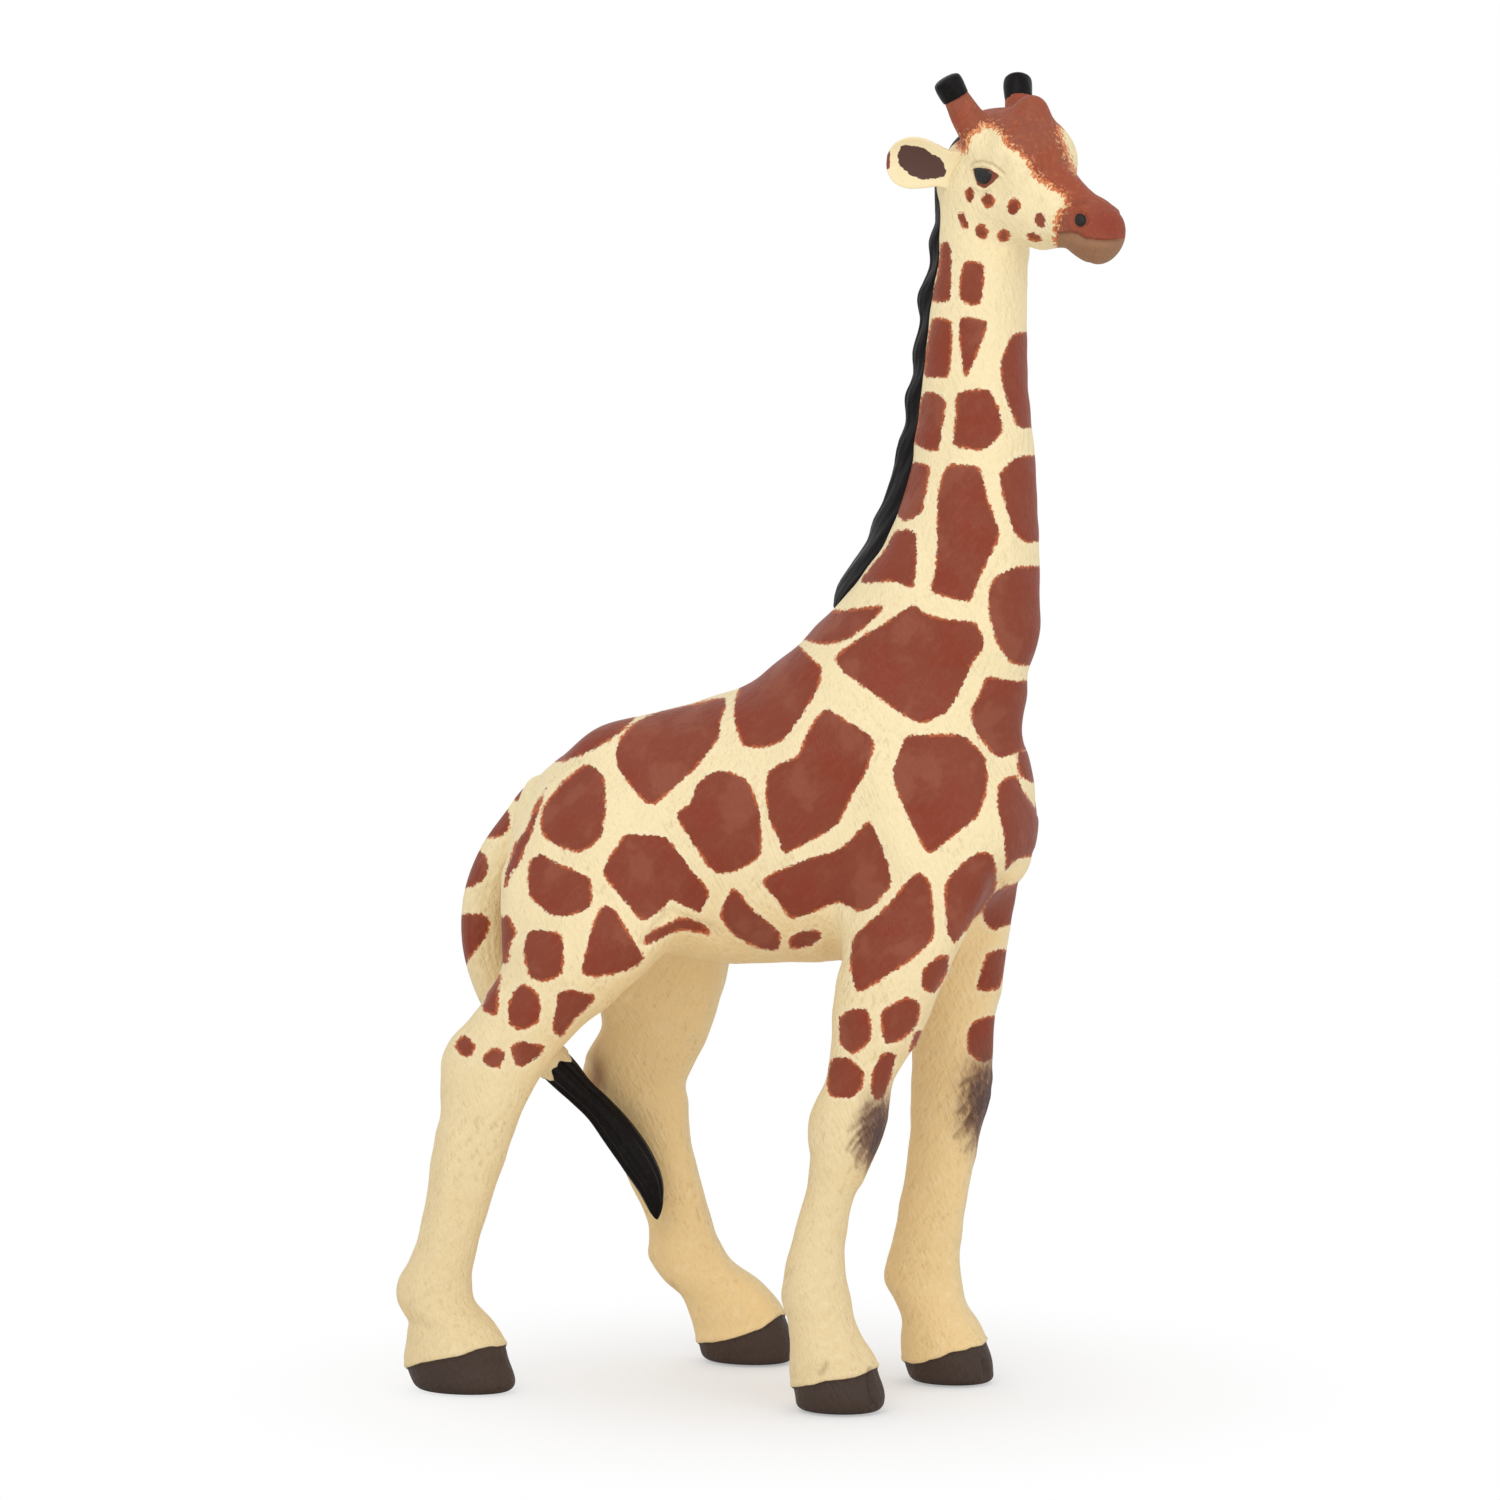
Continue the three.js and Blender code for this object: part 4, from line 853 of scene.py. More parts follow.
# %% Patches on the flank, rump and upper thigh
RUMP_SHEET = {"corner": (440, 560), "enlarged": 3.564, "outlines": [
    [1015, 492, 1000, 580, 990, 640, 900, 750, 765, 868, 720, 850, 640, 750, 625, 690, 640, 640, 700, 580,
     800, 535, 900, 515],
    [705, 548, 620, 630, 520, 690, 415, 720, 360, 640, 480, 520, 640, 440],
    [545, 735, 580, 770, 590, 850, 580, 980, 500, 1040, 400, 1010, 362, 960, 370, 880, 440, 790, 510, 735],
    [360, 1050, 410, 1080, 530, 1130, 540, 1160, 535, 1240, 440, 1272, 380, 1255, 318, 1190, 320, 1080],
    [670, 980, 790, 985, 830, 1020, 890, 1100, 955, 1180, 930, 1255, 880, 1235, 820, 1212, 790, 1245,
     725, 1285, 680, 1240, 590, 1130, 590, 1090, 640, 1010],
    [975, 755, 1040, 760, 1095, 790, 1140, 900, 1140, 1050, 1060, 1105, 1000, 1118, 960, 1095, 845, 915,
     890, 870, 920, 800],
    [735, 1370, 740, 1340, 845, 1282, 910, 1290, 965, 1335, 860, 1318, 790, 1345],
    [580, 1235, 620, 1245, 660, 1310, 720, 1415, 660, 1460, 560, 1485, 505, 1470, 520, 1400, 550, 1290],
    [310, 1335, 340, 1318, 435, 1340, 435, 1470, 370, 1500, 320, 1480, 305, 1400],
]}
THIGH_SHEET = {"corner": (440, 760), "enlarged": 4.9, "outlines": [
    [525, 135, 500, 180, 470, 290, 440, 370, 400, 470, 365, 560, 335, 625, 345, 520, 370, 410, 430, 330,
     470, 220],
    [330, 768, 350, 768, 375, 850, 355, 900, 340, 990, 320, 1000, 290, 970, 298, 850, 310, 790],
    [285, 1025, 310, 1060, 295, 1150, 270, 1250, 210, 1215, 250, 1150],
    [410, 1100, 470, 1140, 490, 1200, 480, 1280, 410, 1320, 350, 1300, 330, 1230, 360, 1140],
    [585, 1140, 650, 1130, 755, 1155, 740, 1190, 650, 1280, 590, 1355, 555, 1320, 570, 1220],
    [120, 1350, 170, 1400, 150, 1445, 110, 1450, 75, 1400],
    [265, 1410, 320, 1440, 290, 1505, 240, 1500, 210, 1465],
    [350, 1410, 400, 1380, 510, 1405, 480, 1450, 410, 1500, 370, 1490],
]}
print("rump and thigh patches:", len(RUMP_SHEET["outlines"]) + len(THIGH_SHEET["outlines"]))

# %% Patches on the front legs and the tail
KNEE_SHEET = {"corner": (760, 940), "enlarged": 3.2, "outlines": [
    [345, 225, 355, 300, 340, 335, 295, 362, 258, 330, 255, 250, 300, 222],
    [390, 230, 470, 185, 510, 205, 500, 270, 460, 310, 410, 335, 395, 310],
    [222, 400, 240, 378, 280, 378, 330, 420, 325, 470, 290, 505, 230, 500, 218, 470],
    [385, 375, 410, 360, 432, 370, 420, 430, 400, 490, 380, 512, 358, 490, 362, 420],
    [515, 290, 495, 300, 475, 355, 500, 330],
    [518, 130, 530, 90, 570, 55, 600, 50, 600, 90, 570, 150, 545, 170],
    [795, 35, 780, 80, 745, 155, 698, 158, 710, 90, 735, 40],
    [755, 248, 748, 370, 715, 388, 668, 360, 668, 290, 700, 255],
]}
TAIL_SHEET = {"corner": (440, 760), "enlarged": 4.9, "outlines": [
    [472, 70, 460, 110, 430, 195, 415, 205, 365, 195, 355, 170, 440, 95],
    [320, 240, 340, 270, 338, 330, 305, 370, 270, 377, 215, 378, 205, 330, 270, 250],
    [185, 445, 215, 460, 237, 520, 215, 580, 160, 618, 105, 625, 100, 530, 150, 445],
    [150, 755, 215, 760, 242, 800, 215, 880, 150, 960, 112, 1030, 80, 950, 75, 830, 100, 765],
]}
print("front leg patches:", len(KNEE_SHEET["outlines"]), "tail patches:", len(TAIL_SHEET["outlines"]))

# %% [markdown]
# ## The face: one brown mask and a few spots
# Brown runs from the horns down the nose and muzzle, with a fuzzy edge brushed into the cream. The
# cheek spots are small ovals. The eye, nostril and lip are painted too, so they are outlines as well.

# %% Face paint
FACE_MASK = [503, 548, 480, 520, 455, 460, 385, 380, 310, 250, 250, 120, 350, -60, 1000, -60, 1300, 250,
    1560, 700, 1640, 1100, 1560, 1300, 1250, 1330, 1110, 1210, 1072, 1100, 1060, 1020, 1085, 930, 1135, 870,
    1100, 800, 1000, 740, 930, 680, 890, 600, 850, 560, 790, 520, 750, 460, 710, 405, 640, 385, 600, 400,
    545, 440, 520, 490]
FAR_BROW_FILL = [650, 405, 850, 360, 970, 430, 1070, 560, 1150, 710, 1010, 800, 820, 650, 690, 510]
FAR_BROW = [1070, 410, 1150, 405, 1230, 500, 1262, 640, 1190, 685, 1150, 640, 1132, 590, 1110, 530,
    1092, 470]
LIP = [1078, 1050, 1110, 1045, 1150, 1042, 1190, 1052, 1230, 1076, 1300, 1086, 1370, 1092, 1520, 1085,
    1560, 1300, 1250, 1340, 1090, 1260, 1070, 1140]
EYE_RIM = [553, 655, 605, 650, 670, 668, 712, 700, 665, 752, 625, 776, 578, 752, 558, 700]
EYE_BALL = [562, 655, 605, 650, 655, 672, 668, 700, 650, 740, 612, 752, 580, 735, 562, 700]
# Middle, size and lean in degrees of the nostril and of each cheek spot
NOSTRIL = (1207, 965, 74, 80, 0)
CHEEK_SPOTS = [
    (537, 813, 42, 95, 0), (645, 850, 66, 84, 35), (806, 885, 70, 95, -10), (968, 965, 58, 92, 10),
    (503, 968, 42, 100, 25), (612, 1035, 68, 84, 30), (746, 1058, 72, 64, 30), (930, 1068, 82, 46, -20),
]
OVAL_POINTS = 10


def oval(middle_x, middle_y, width, height, lean):
    """Points round an oval: cosine and sine times its half sizes, turned by its lean."""
    angle, lean = np.linspace(0, 2 * math.pi, OVAL_POINTS, endpoint=False), math.radians(-lean)
    x, y = np.cos(angle) * width / 2, np.sin(angle) * height / 2
    return np.stack([middle_x + x * math.cos(lean) - y * math.sin(lean),
                     middle_y + x * math.sin(lean) + y * math.cos(lean)], 1)


FACE_SHEET = {"corner": (880, 60), "enlarged": 6.03, "outlines": [oval(*spot) for spot in CHEEK_SPOTS]}
print("cheek spots:", len(CHEEK_SPOTS))

# %% Distance from outlines
OUTLINE_STEPS = 5
# Share of the smooth curve against the straight side of each stretch
ROUNDING = 0.6
# Pixels round an outline within which its distance is worked out, and the distance in mm kept elsewhere
OUTLINE_REACH = 70.0
FAR_AWAY = 9.0
TINY = 1e-9


def rounded(points):
    """Closed curve through the points: each stretch lies between a straight line and a cubic."""
    p = np.array(points, float)
    before, after, beyond = np.roll(p, 1, 0), np.roll(p, -1, 0), np.roll(p, -2, 0)
    t = (np.arange(OUTLINE_STEPS) / OUTLINE_STEPS)[None, :, None]
    p, before, after, beyond = (a[:, None, :] for a in (p, before, after, beyond))
    curve = p + t / 2 * (after - before + t * (2 * before - 5 * p + 4 * after - beyond
                                                + t * (3 * p - before - 3 * after + beyond)))
    straight = p + t * (after - p)
    return (straight + ROUNDING * (curve - straight)).reshape(-1, 2)


def nearest_side(pixels, start, side):
    """Distance to the nearest of some straight sides: to the foot on each side, kept between its ends."""
    away = pixels[:, None, :] - start
    share = np.clip((away * side).sum(-1) / ((side**2).sum(-1) + TINY), 0, 1)
    return np.sqrt(((away - share[..., None] * side) ** 2).sum(-1)).min(1)


def outline_gap(pixels, outline):
    """Distance in pixels to the nearest side, with a minus sign inside: there a level line drawn from the
    pixel to the right crosses the outline an odd number of times."""
    start, end = outline, np.roll(outline, -1, 0)
    side = end - start
    gap = nearest_side(pixels, start, side)
    x, y = pixels[:, :1], pixels[:, 1:]
    spans = (start[:, 1] > y) != (end[:, 1] > y)
    meets = start[:, 0] + (y - start[:, 1]) / (side[:, 1] + TINY * (side[:, 1] == 0)) * side[:, 0]
    inside = ((spans & (x < meets)).sum(1) % 2) == 1
    return np.where(inside, -gap, gap)


def on_picture(points, corner, enlarged):
    """Picture pixels of a sheet's points: its corner plus them over its enlargement."""
    return np.array(corner) + np.array(points, float).reshape(-1, 2) / enlarged


def nearest_gap(pixels, outlines):
    """Smallest of the distances to several outlines, in mm; far away it stays at one value."""
    gaps = np.full(len(pixels), FAR_AWAY)
    for outline in outlines:
        low, high = outline.min(0) - OUTLINE_REACH, outline.max(0) + OUTLINE_REACH
        close = ((pixels > low) & (pixels < high)).all(1)
        if close.any():
            gaps[close] = np.minimum(gaps[close], outline_gap(pixels[close], outline) / PIXELS_PER_MM)
    return gaps


def outlines_of(*sheets):
    """All outlines of some sheets, in picture pixels and rounded."""
    return [rounded(on_picture(points, sheet["corner"], sheet["enlarged"]))
            for sheet in sheets for points in sheet["outlines"]]


def face_outline(points):
    """One outline of the face sheet, as a list of its own."""
    return outlines_of({**FACE_SHEET, "outlines": [points]})


BODY_PATCHES = outlines_of(NECK_SHEET, SHOULDER_SHEET, RUMP_SHEET, THIGH_SHEET, KNEE_SHEET, FACE_SHEET)
TAIL_PATCHES = outlines_of(TAIL_SHEET)
# The readings of the head's own paints, by the names that the shader asks for
FACE_PAINTS = {
    "face_gap": face_outline(FACE_MASK),
    "lip_gap": face_outline(LIP),
    "rim_gap": face_outline(EYE_RIM),
    "ball_gap": face_outline(EYE_BALL),
    "nostril_gap": face_outline(oval(*NOSTRIL)),
}
FAR_BROW_OUTLINE = face_outline(FAR_BROW)
FILL_OUTLINE = face_outline(FAR_BROW_FILL)
print("patches on the body:", len(BODY_PATCHES))

# %% [markdown]
# ## The side that the camera doesn't see
# A giraffe's two sides have like patches, so the far side takes the near side's outlines, mirrored.
# On the legs the mirror also moves with the stride, so that each patch stays on its leg, and on the head
# it is the head's own mirror. Where a surface turns away from the camera the two readings run into each
# other, because both are distances and so can be mixed.

# %% Mirrored places
# Heights in mm over which the mirror stops following the legs, and begins to follow the head
STRIDE_FADE = (62.0, 82.0)
HEAD_FADE = (146.0, 153.0)
# The near reading holds where a surface faces the camera by this cosine, or lies this many mm on the near
# side of the middle. The far half of the jaw is left out, from this many mm aside and under these heights
FACING_FADE = (-0.16, -0.02)
NEAR_FADE = (0.2, 1.8)
JAW_ASIDE = (0.8, 1.8)
JAW_TOP = (155.0, 153.5)


def smooth_step(low, high, value):
    """Nought below low, one above high, and a smooth S between."""
    t = np.clip((value - low) / (high - low), 0, 1)
    return t * t * (3 - 2 * t)


def stride_step(p):
    """From a left leg's middle to the right one's at the same height, fading out up the body."""
    step = np.zeros((len(p), 2))
    for part, chosen in (("front", p[:, 0] >= MIDDLE_FORWARD), ("hind", p[:, 0] < MIDDLE_FORWARD)):
        read_left, read_right = (smooth_reader(LEGS[f"{s}_{part}_leg"])[0] for s in ("left", "right"))
        left, right = read_left(p[chosen, 2])[:, :2], read_right(p[chosen, 2])[:, :2]
        step[chosen] = np.stack([right[:, 0] - left[:, 0], right[:, 1] + left[:, 1]], 1)
    return step * (1 - smooth_step(*STRIDE_FADE, p[:, 2]))[:, None]


def mirrored(p):
    """The near side's place for a place on the far side."""
    body = p * (1, -1, 1)
    body[:, :2] += stride_step(p)
    head = out_of_head(into_head(p) * (1, -1, 1))
    share = smooth_step(*HEAD_FADE, p[:, 2])[:, None]
    return body * (1 - share) + head * share


def near_share(p, normals):
    """One where a surface faces the camera or lies on the near side, else nought; and its facing."""
    toward = camera_place - p
    facing = (normals * toward).sum(1) / np.linalg.norm(toward, axis=1)
    height, head_aside = p[:, 2], into_head(p)[:, 1]
    aside = np.where(height > HEAD_FADE[1], head_aside, p[:, 1])
    # The far half of the jaw is turned to the camera, but the muzzle hides it
    far_jaw = smooth_step(*JAW_ASIDE, head_aside) * smooth_step(*JAW_TOP, height) * (height > HEAD_FADE[0])
    seen = smooth_step(*FACING_FADE, facing) * (1 - far_jaw)
    return np.maximum(seen, smooth_step(*NEAR_FADE, -aside)), facing


def both_sides(p, normals, reading):
    """A reading of picture pixels, taken here on the near side and at the mirrored place on the far side."""
    near, _ = near_share(p, normals)
    return reading(picture_place(p)) * near + reading(picture_place(mirrored(p))) * (1 - near)


print("mirror ready")

# %% [markdown]
# ## Readings of the paint at each point
# Where each paint begins is kept on the mesh as a distance in mm from the edge of that paint, negative
# inside. A shader then draws the edge itself, as sharp or as ragged as the brush left it, which stays
# crisp however coarse the mesh is. Airbrushed shades, and the tan painted as shade between and under the
# legs, have no edge and are kept as shares from nought to one.

# %% Hoof lines and airbrushed shades
# Upper edge of each hoof on an enlarged part of the photograph: its corner, enlargement and points
HOOF_LINES = {
    "right_front_leg": ((760, 1250), 5.0, [120, 700, 165, 686, 200, 683, 270, 673, 330, 655, 400, 648,
        450, 640, 500, 628, 545, 610, 590, 585]),
    "left_front_leg": ((760, 1250), 5.0, [690, 545, 712, 555, 760, 570, 820, 562, 845, 550, 900, 535,
        960, 510, 1030, 497, 1060, 485, 1110, 478, 1150, 440]),
    "right_hind_leg": ((380, 1230), 5.0, [120, 692, 145, 685, 200, 665, 300, 648, 400, 628, 430, 618,
        480, 595, 550, 583, 600, 580, 650, 572]),
    "left_hind_leg": ((660, 1200), 5.0, [180, 716, 195, 714, 260, 712, 330, 700, 370, 690, 430, 668,
        510, 640, 570, 595, 605, 572]),
}
# Middle and half sizes in picture pixels of the airbrushed shade on each front knee
KNEE_SHADES = {"right_front_leg": ((882, 1138), (24, 42)), "left_front_leg": ((995, 1104), (35, 52))}
MUZZLE_SHADE = ((1107, 224), (24, 17))
# Middle and half sizes in picture pixels of a darker brown on the left hind leg beside the tuft
TUFT_SIDE_SPOT = ((597, 1078), (9, 24))
# Width in mm of the cream band that parts the two sides' patches where their readings meet, and the gap
# added on what the near legs' inner faces hide, where the facing is under nought and the height under a limit
PATCH_PARTING = 0.6
HIDDEN_PARTING = 0.9
HIDDEN_FACING = (0.1, -0.4)
HIDDEN_BELOW = 90.0
# Painted shade, tan, between and under the legs: how far the surface faces inward or downward,
# and the heights in mm over which it fades out
INWARD_FADE, INWARD_HEIGHTS = (-0.1, 0.7), (90, 76)
DOWNWARD_FADE, DOWNWARD_HEIGHTS = (0.1, 0.8), (96, 80)


def above_line(pixels, corner, enlarged, points):
    """Distance in mm above a wavy line in the picture: the height over it times the cosine of its slope."""
    x, y = on_picture(points, corner, enlarged).T
    slope = (y[-1] - y[0]) / (x[-1] - x[0])
    return (np.interp(pixels[:, 0], x, y) - pixels[:, 1]) / math.hypot(1, slope) / PIXELS_PER_MM


def sprayed(pixels, spot):
    """Share of airbrushed paint: e to the minus square of the distance, in half sizes of the spot."""
    (x, y), (half_x, half_y) = spot
    return np.exp(-(((pixels[:, 0] - x) / half_x) ** 2) - ((pixels[:, 1] - y) / half_y) ** 2)


def painted_inner_shade(p, normals):
    """Share of tan painted as shade between and under the legs: the inward or downward part of the normal, low
    on the body.
    """
    inward = smooth_step(*INWARD_FADE, -np.sign(p[:, 1]) * normals[:, 1])
    downward = smooth_step(*DOWNWARD_FADE, -normals[:, 2])
    return np.maximum(inward * smooth_step(*INWARD_HEIGHTS, p[:, 2]),
                      downward * smooth_step(*DOWNWARD_HEIGHTS, p[:, 2]))


def casting_paint(name, p, normals):
    """All readings of one casting, by the names that the shader asks for."""
    pixels = picture_place(p)
    near, facing = near_share(p, normals)
    hidden_inside = smooth_step(*HIDDEN_FACING, facing) * (p[:, 1] < 0) * (p[:, 2] < HIDDEN_BELOW)
    # Four times a share times its rest is one in the middle of the change, where the readings meet
    parting = PATCH_PARTING * 4 * near * (1 - near) + HIDDEN_PARTING * hidden_inside
    paint = {"coat_gap": both_sides(p, normals, lambda q: nearest_gap(q, BODY_PATCHES)) + parting}
    # Torso and legs get a tan painted as shade between and under the legs
    if name == "torso" or name in HOOF_LINES:
        paint["painted_inner_shade"] = painted_inner_shade(p, normals)
    if name in HOOF_LINES:
        paint["hoof_gap"] = above_line(pixels, *HOOF_LINES[name])
    if name in KNEE_SHADES:
        paint["knee_shade"] = sprayed(pixels, KNEE_SHADES[name])
    # A darker brown on the left hind leg beside the tuft, fading out from its middle
    if name == "left_hind_leg":
        paint["tuft_side_spray"] = sprayed(pixels, TUFT_SIDE_SPOT)
    if name == "head":
        for key, outline in FACE_PAINTS.items():
            paint[key] = both_sides(p, normals, lambda q: nearest_gap(q, outline))
        # The far brow is cream: its visible rim by its own outline, and the hidden rest by the mirrored one
        brow = nearest_gap(pixels, FAR_BROW_OUTLINE) * near
        brow += nearest_gap(picture_place(mirrored(p)), FILL_OUTLINE) * (1 - near)
        paint["face_gap"] = np.maximum(paint["face_gap"], -brow)
        paint["muzzle_shade"] = both_sides(p, normals, lambda q: sprayed(q, MUZZLE_SHADE))
    return paint


def slopes_at(form, places):
    """Outward normals: the slope of the depth, brought to length one."""
    return unit(depth_slope(form, places))


normals, paints = {}, {}
for name, (places, faces) in skins.items():
    normals[name] = slopes_at(CASTINGS[name][0], places)
    paints[name] = casting_paint(name, places, normals[name])
    print(name, "inside patches:", round(float((paints[name]["coat_gap"] < 0).mean()), 2))

# %% [markdown]
# ## Relief
# The sculptor cut folds, creases and wrinkles in the master, and the moulds took them over. Each is a
# line chosen on an enlarged part of the photograph, with a width and a height: the skin moves out along a
# ridge and in along a groove, by a bell curve of the distance. The far side takes the lines mirrored.

# %% Folds and muscles of the body
# Lines of a sheet: half width in mm, height in mm (below nought is a groove), and points, across and down
SHOULDER_RELIEF = {"corner": (720, 560), "enlarged": 3.409, "lines": [
    (1.0, -0.28, [400, 1000, 392, 1090, 388, 1180, 385, 1360]),
    (0.5, -0.22, [375, 1185, 400, 1168, 440, 1200]),
    (2.2, 0.4, [530, 700, 545, 800, 565, 900, 640, 1030, 700, 1080]),
    (2.0, -0.3, [640, 690, 660, 860, 720, 1000]),
    (0.6, -0.25, [1010, 740, 1025, 765, 1060, 810, 1090, 860]),
    (0.7, -0.22, [950, 1100, 1000, 1060, 1060, 1000]),
    (1.8, 0.3, [260, 640, 230, 760, 180, 880]),
]}
THIGH_RELIEF = {"corner": (440, 760), "enlarged": 4.9, "lines": [
    (1.3, 0.45, [352, 560, 338, 680, 328, 800, 320, 920, 300, 1040, 262, 1150]),
    (0.6, -0.3, [1005, 897, 1060, 820, 1122, 745, 1225, 790, 1323, 838]),
    (1.6, 0.35, [1040, 940, 930, 1080, 790, 1300, 700, 1400]),
    (2.4, 0.35, [820, 330, 760, 520, 640, 760, 520, 960]),
    (1.6, -0.22, [600, 420, 560, 620, 470, 840]),
]}
print("fold lines:", len(SHOULDER_RELIEF["lines"]) + len(THIGH_RELIEF["lines"]))

# %% Wrinkles of the knees, hocks, fetlocks and hooves
KNEE_RELIEF = {"corner": (780, 1000), "enlarged": 5.0, "lines": [
    (0.28, -0.26, [338, 750, 365, 706, 398, 668, 425, 640]),
    (0.26, -0.24, [360, 765, 385, 722, 410, 696, 440, 645, 470, 622]),
    (0.26, 0.2, [350, 745, 382, 700, 412, 668, 448, 628]),
    (0.26, -0.2, [378, 835, 384, 785, 402, 750, 430, 715]),
    (0.24, -0.18, [342, 658, 378, 632, 410, 602, 432, 588]),
    (0.26, -0.2, [430, 602, 455, 572, 482, 548]),
    (0.24, -0.18, [400, 562, 428, 546, 445, 520]),
    (0.26, 0.2, [400, 600, 440, 560, 470, 530]),
    (0.28, -0.26, [872, 688, 905, 652, 935, 626, 955, 598]),
    (0.26, -0.22, [888, 565, 920, 542, 945, 502, 962, 470]),
    (0.26, -0.22, [915, 622, 950, 582, 978, 540]),
    (0.26, 0.2, [900, 600, 935, 570, 965, 520]),
    (0.26, -0.18, [900, 432, 935, 402, 985, 382]),
    (0.24, -0.16, [928, 762, 948, 735, 962, 712]),
    (1.2, 0.25, [395, 900, 400, 800, 440, 700, 500, 600]),
]}
HOCK_RELIEF = {"corner": (380, 980), "enlarged": 3.564, "lines": [
    (0.5, -0.2, [738, 298, 758, 345, 782, 402]),
    (0.3, -0.1, [1040, 1080, 1062, 1110, 1075, 1150]),
    (1.4, 0.25, [250, 560, 240, 760, 190, 960]),
    (1.0, -0.15, [330, 520, 300, 760, 250, 960]),
    (0.5, -0.15, [90, 1215, 120, 1230, 160, 1235]),
]}
FOOT_RELIEF = {"corner": (760, 1250), "enlarged": 5.0, "lines": [
    (0.35, -0.4, [552, 600, 558, 680, 572, 780]),
    (0.35, -0.4, [1128, 560, 1140, 610, 1130, 680]),
    (0.35, -0.16, [300, 620, 318, 600, 330, 570]),
    (0.4, -0.14, [890, 430, 930, 440, 975, 400]),
    (0.4, -0.12, [520, 560, 500, 500, 470, 430]),
]}
print("wrinkle lines:", sum(len(s["lines"]) for s in (KNEE_RELIEF, HOCK_RELIEF, FOOT_RELIEF)))

# %% Lines of the head and neck
FACE_RELIEF = {"corner": FACE_SHEET["corner"], "enlarged": FACE_SHEET["enlarged"], "lines": [
    (0.22, 0.2, [545, 655, 562, 640, 605, 632, 660, 648, 722, 700]),
    (0.2, -0.16, [540, 640, 562, 620, 610, 612, 670, 628, 735, 690]),
    (0.25, 0.14, [560, 765, 615, 790, 672, 762, 722, 706]),
    (0.9, -0.22, [740, 620, 700, 820, 620, 830]),
    (0.2, -0.2, [1082, 1050, 1110, 1046, 1150, 1040, 1190, 1050, 1230, 1075, 1300, 1086, 1370, 1092,
     1440, 1088]),
    (0.5, 0.14, [1120, 1090, 1200, 1110, 1300, 1130, 1400, 1130]),
    (0.45, 0.16, [1165, 920, 1215, 905, 1262, 935]),
    (0.7, -0.18, [610, 1085, 720, 1128, 860, 1140, 1000, 1110]),
    (0.8, -0.2, [1050, 780, 1090, 900, 1080, 1000]),
    (0.35, -0.12, [1110, 880, 1160, 860, 1230, 850]),
]}
NECK_RELIEF = {"corner": (820, 230), "enlarged": 4.02, "lines": [
    (2.6, 0.3, [700, 120, 690, 500, 700, 900, 760, 1400]),
    (2.0, -0.25, [540, 100, 530, 500, 480, 900, 420, 1400]),
]}
print("face and neck lines:", len(FACE_RELIEF["lines"]) + len(NECK_RELIEF["lines"]))

# %% From lines to heights
# Half widths past which a line's height counts as nought, and the strength of all lines together
BELL_REACH = 2.6
FOLD_STRENGTH = 1.2
# Lines up to this half width in mm are creases that hold a brown, partly a wash and partly painted shade,
# which is full at this depth in mm
CREASE_WIDTH = 0.36
FULL_CREASE = 0.2
LUMP_HEIGHT = 0.24
LUMP_WAVES = 12
LUMP_SPANS = (4, 11)
LUMP_SEED = 5
# Height in mm over which relief fades out toward the flat sole
SOLE_FADE = 1.6
ALL_RELIEF = [SHOULDER_RELIEF, THIGH_RELIEF, KNEE_RELIEF, HOCK_RELIEF, FOOT_RELIEF, NECK_RELIEF, FACE_RELIEF]


def lines_height(pixels, widest=math.inf):
    """Sum over lines no wider than a limit: height times e to the minus square of distance over width."""
    total = np.zeros(len(pixels))
    for sheet in ALL_RELIEF:
        for width, height, points in [line for line in sheet["lines"] if line[0] <= widest]:
            line = on_picture(points, sheet["corner"], sheet["enlarged"])
            reach = BELL_REACH * width * PIXELS_PER_MM
            close = ((pixels > line.min(0) - reach) & (pixels < line.max(0) + reach)).all(1)
            gap = nearest_side(pixels[close], line[:-1], np.diff(line, axis=0)) / PIXELS_PER_MM
            total[close] += height * np.exp(-((gap / width) ** 2))
    return total


def lumps(p):
    """Slow unevenness of a hand-made master: the mean of some slanted waves, each a few mm long."""
    chooser = np.random.default_rng(LUMP_SEED)
    total = np.zeros(len(p))
    for _ in range(LUMP_WAVES):
        turns = p @ unit(chooser.normal(size=3)) * 2 * math.pi / chooser.uniform(*LUMP_SPANS)
        total += np.sin(turns + chooser.uniform(0, 2 * math.pi))
    return total / LUMP_WAVES


print("relief lines ready")

# %% Eyes, nostrils and hooves in relief
# Domes: reading, height and radius in mm. Bells: reading, height, distance of the middle and width in mm
FACE_DOMES = [("ball_gap", 0.30, 0.6), ("nostril_gap", 0.24, 0.5)]
FACE_BELLS = [("ball_gap", -0.16, 0.10, 0.16), ("rim_gap", -0.22, 0.0, 1.5),
              ("nostril_gap", -0.20, 0.10, 0.18), ("nostril_gap", 0.14, 0.55, 0.35)]
# The skin's swelling over the hoof: height, middle and width; then the step down to the hoof and its edge
HOOF_SWELL = (0.12, 0.35, 0.35)
HOOF_STEP = 0.24
HOOF_EDGE = (0.08, -0.12)


def bell(gap, height, middle, width):
    """Height times e to the minus square of the distance from a middle, over a width."""
    return height * np.exp(-(((gap - middle) / width) ** 2))


def dome(gap, height, radius):
    """Quarter circle from the edge inwards: nought at the outline, the full height from the radius on."""
    return height * np.sqrt(1 - (1 - np.clip(-gap / radius, 0, 1)) ** 2)


def face_height(paint):
    """Eyeball in a socket with a groove round it, and a bead in the nostril's flared rim."""
    domes = sum(dome(paint[key], *sizes) for key, *sizes in FACE_DOMES)
    return domes + sum(bell(paint[key], *sizes) for key, *sizes in FACE_BELLS)


def hoof_height(gap):
    """The hoof lies a step deeper than the skin, which swells a little over its edge."""
    return bell(gap, *HOOF_SWELL) - HOOF_STEP * smooth_step(*HOOF_EDGE, gap)


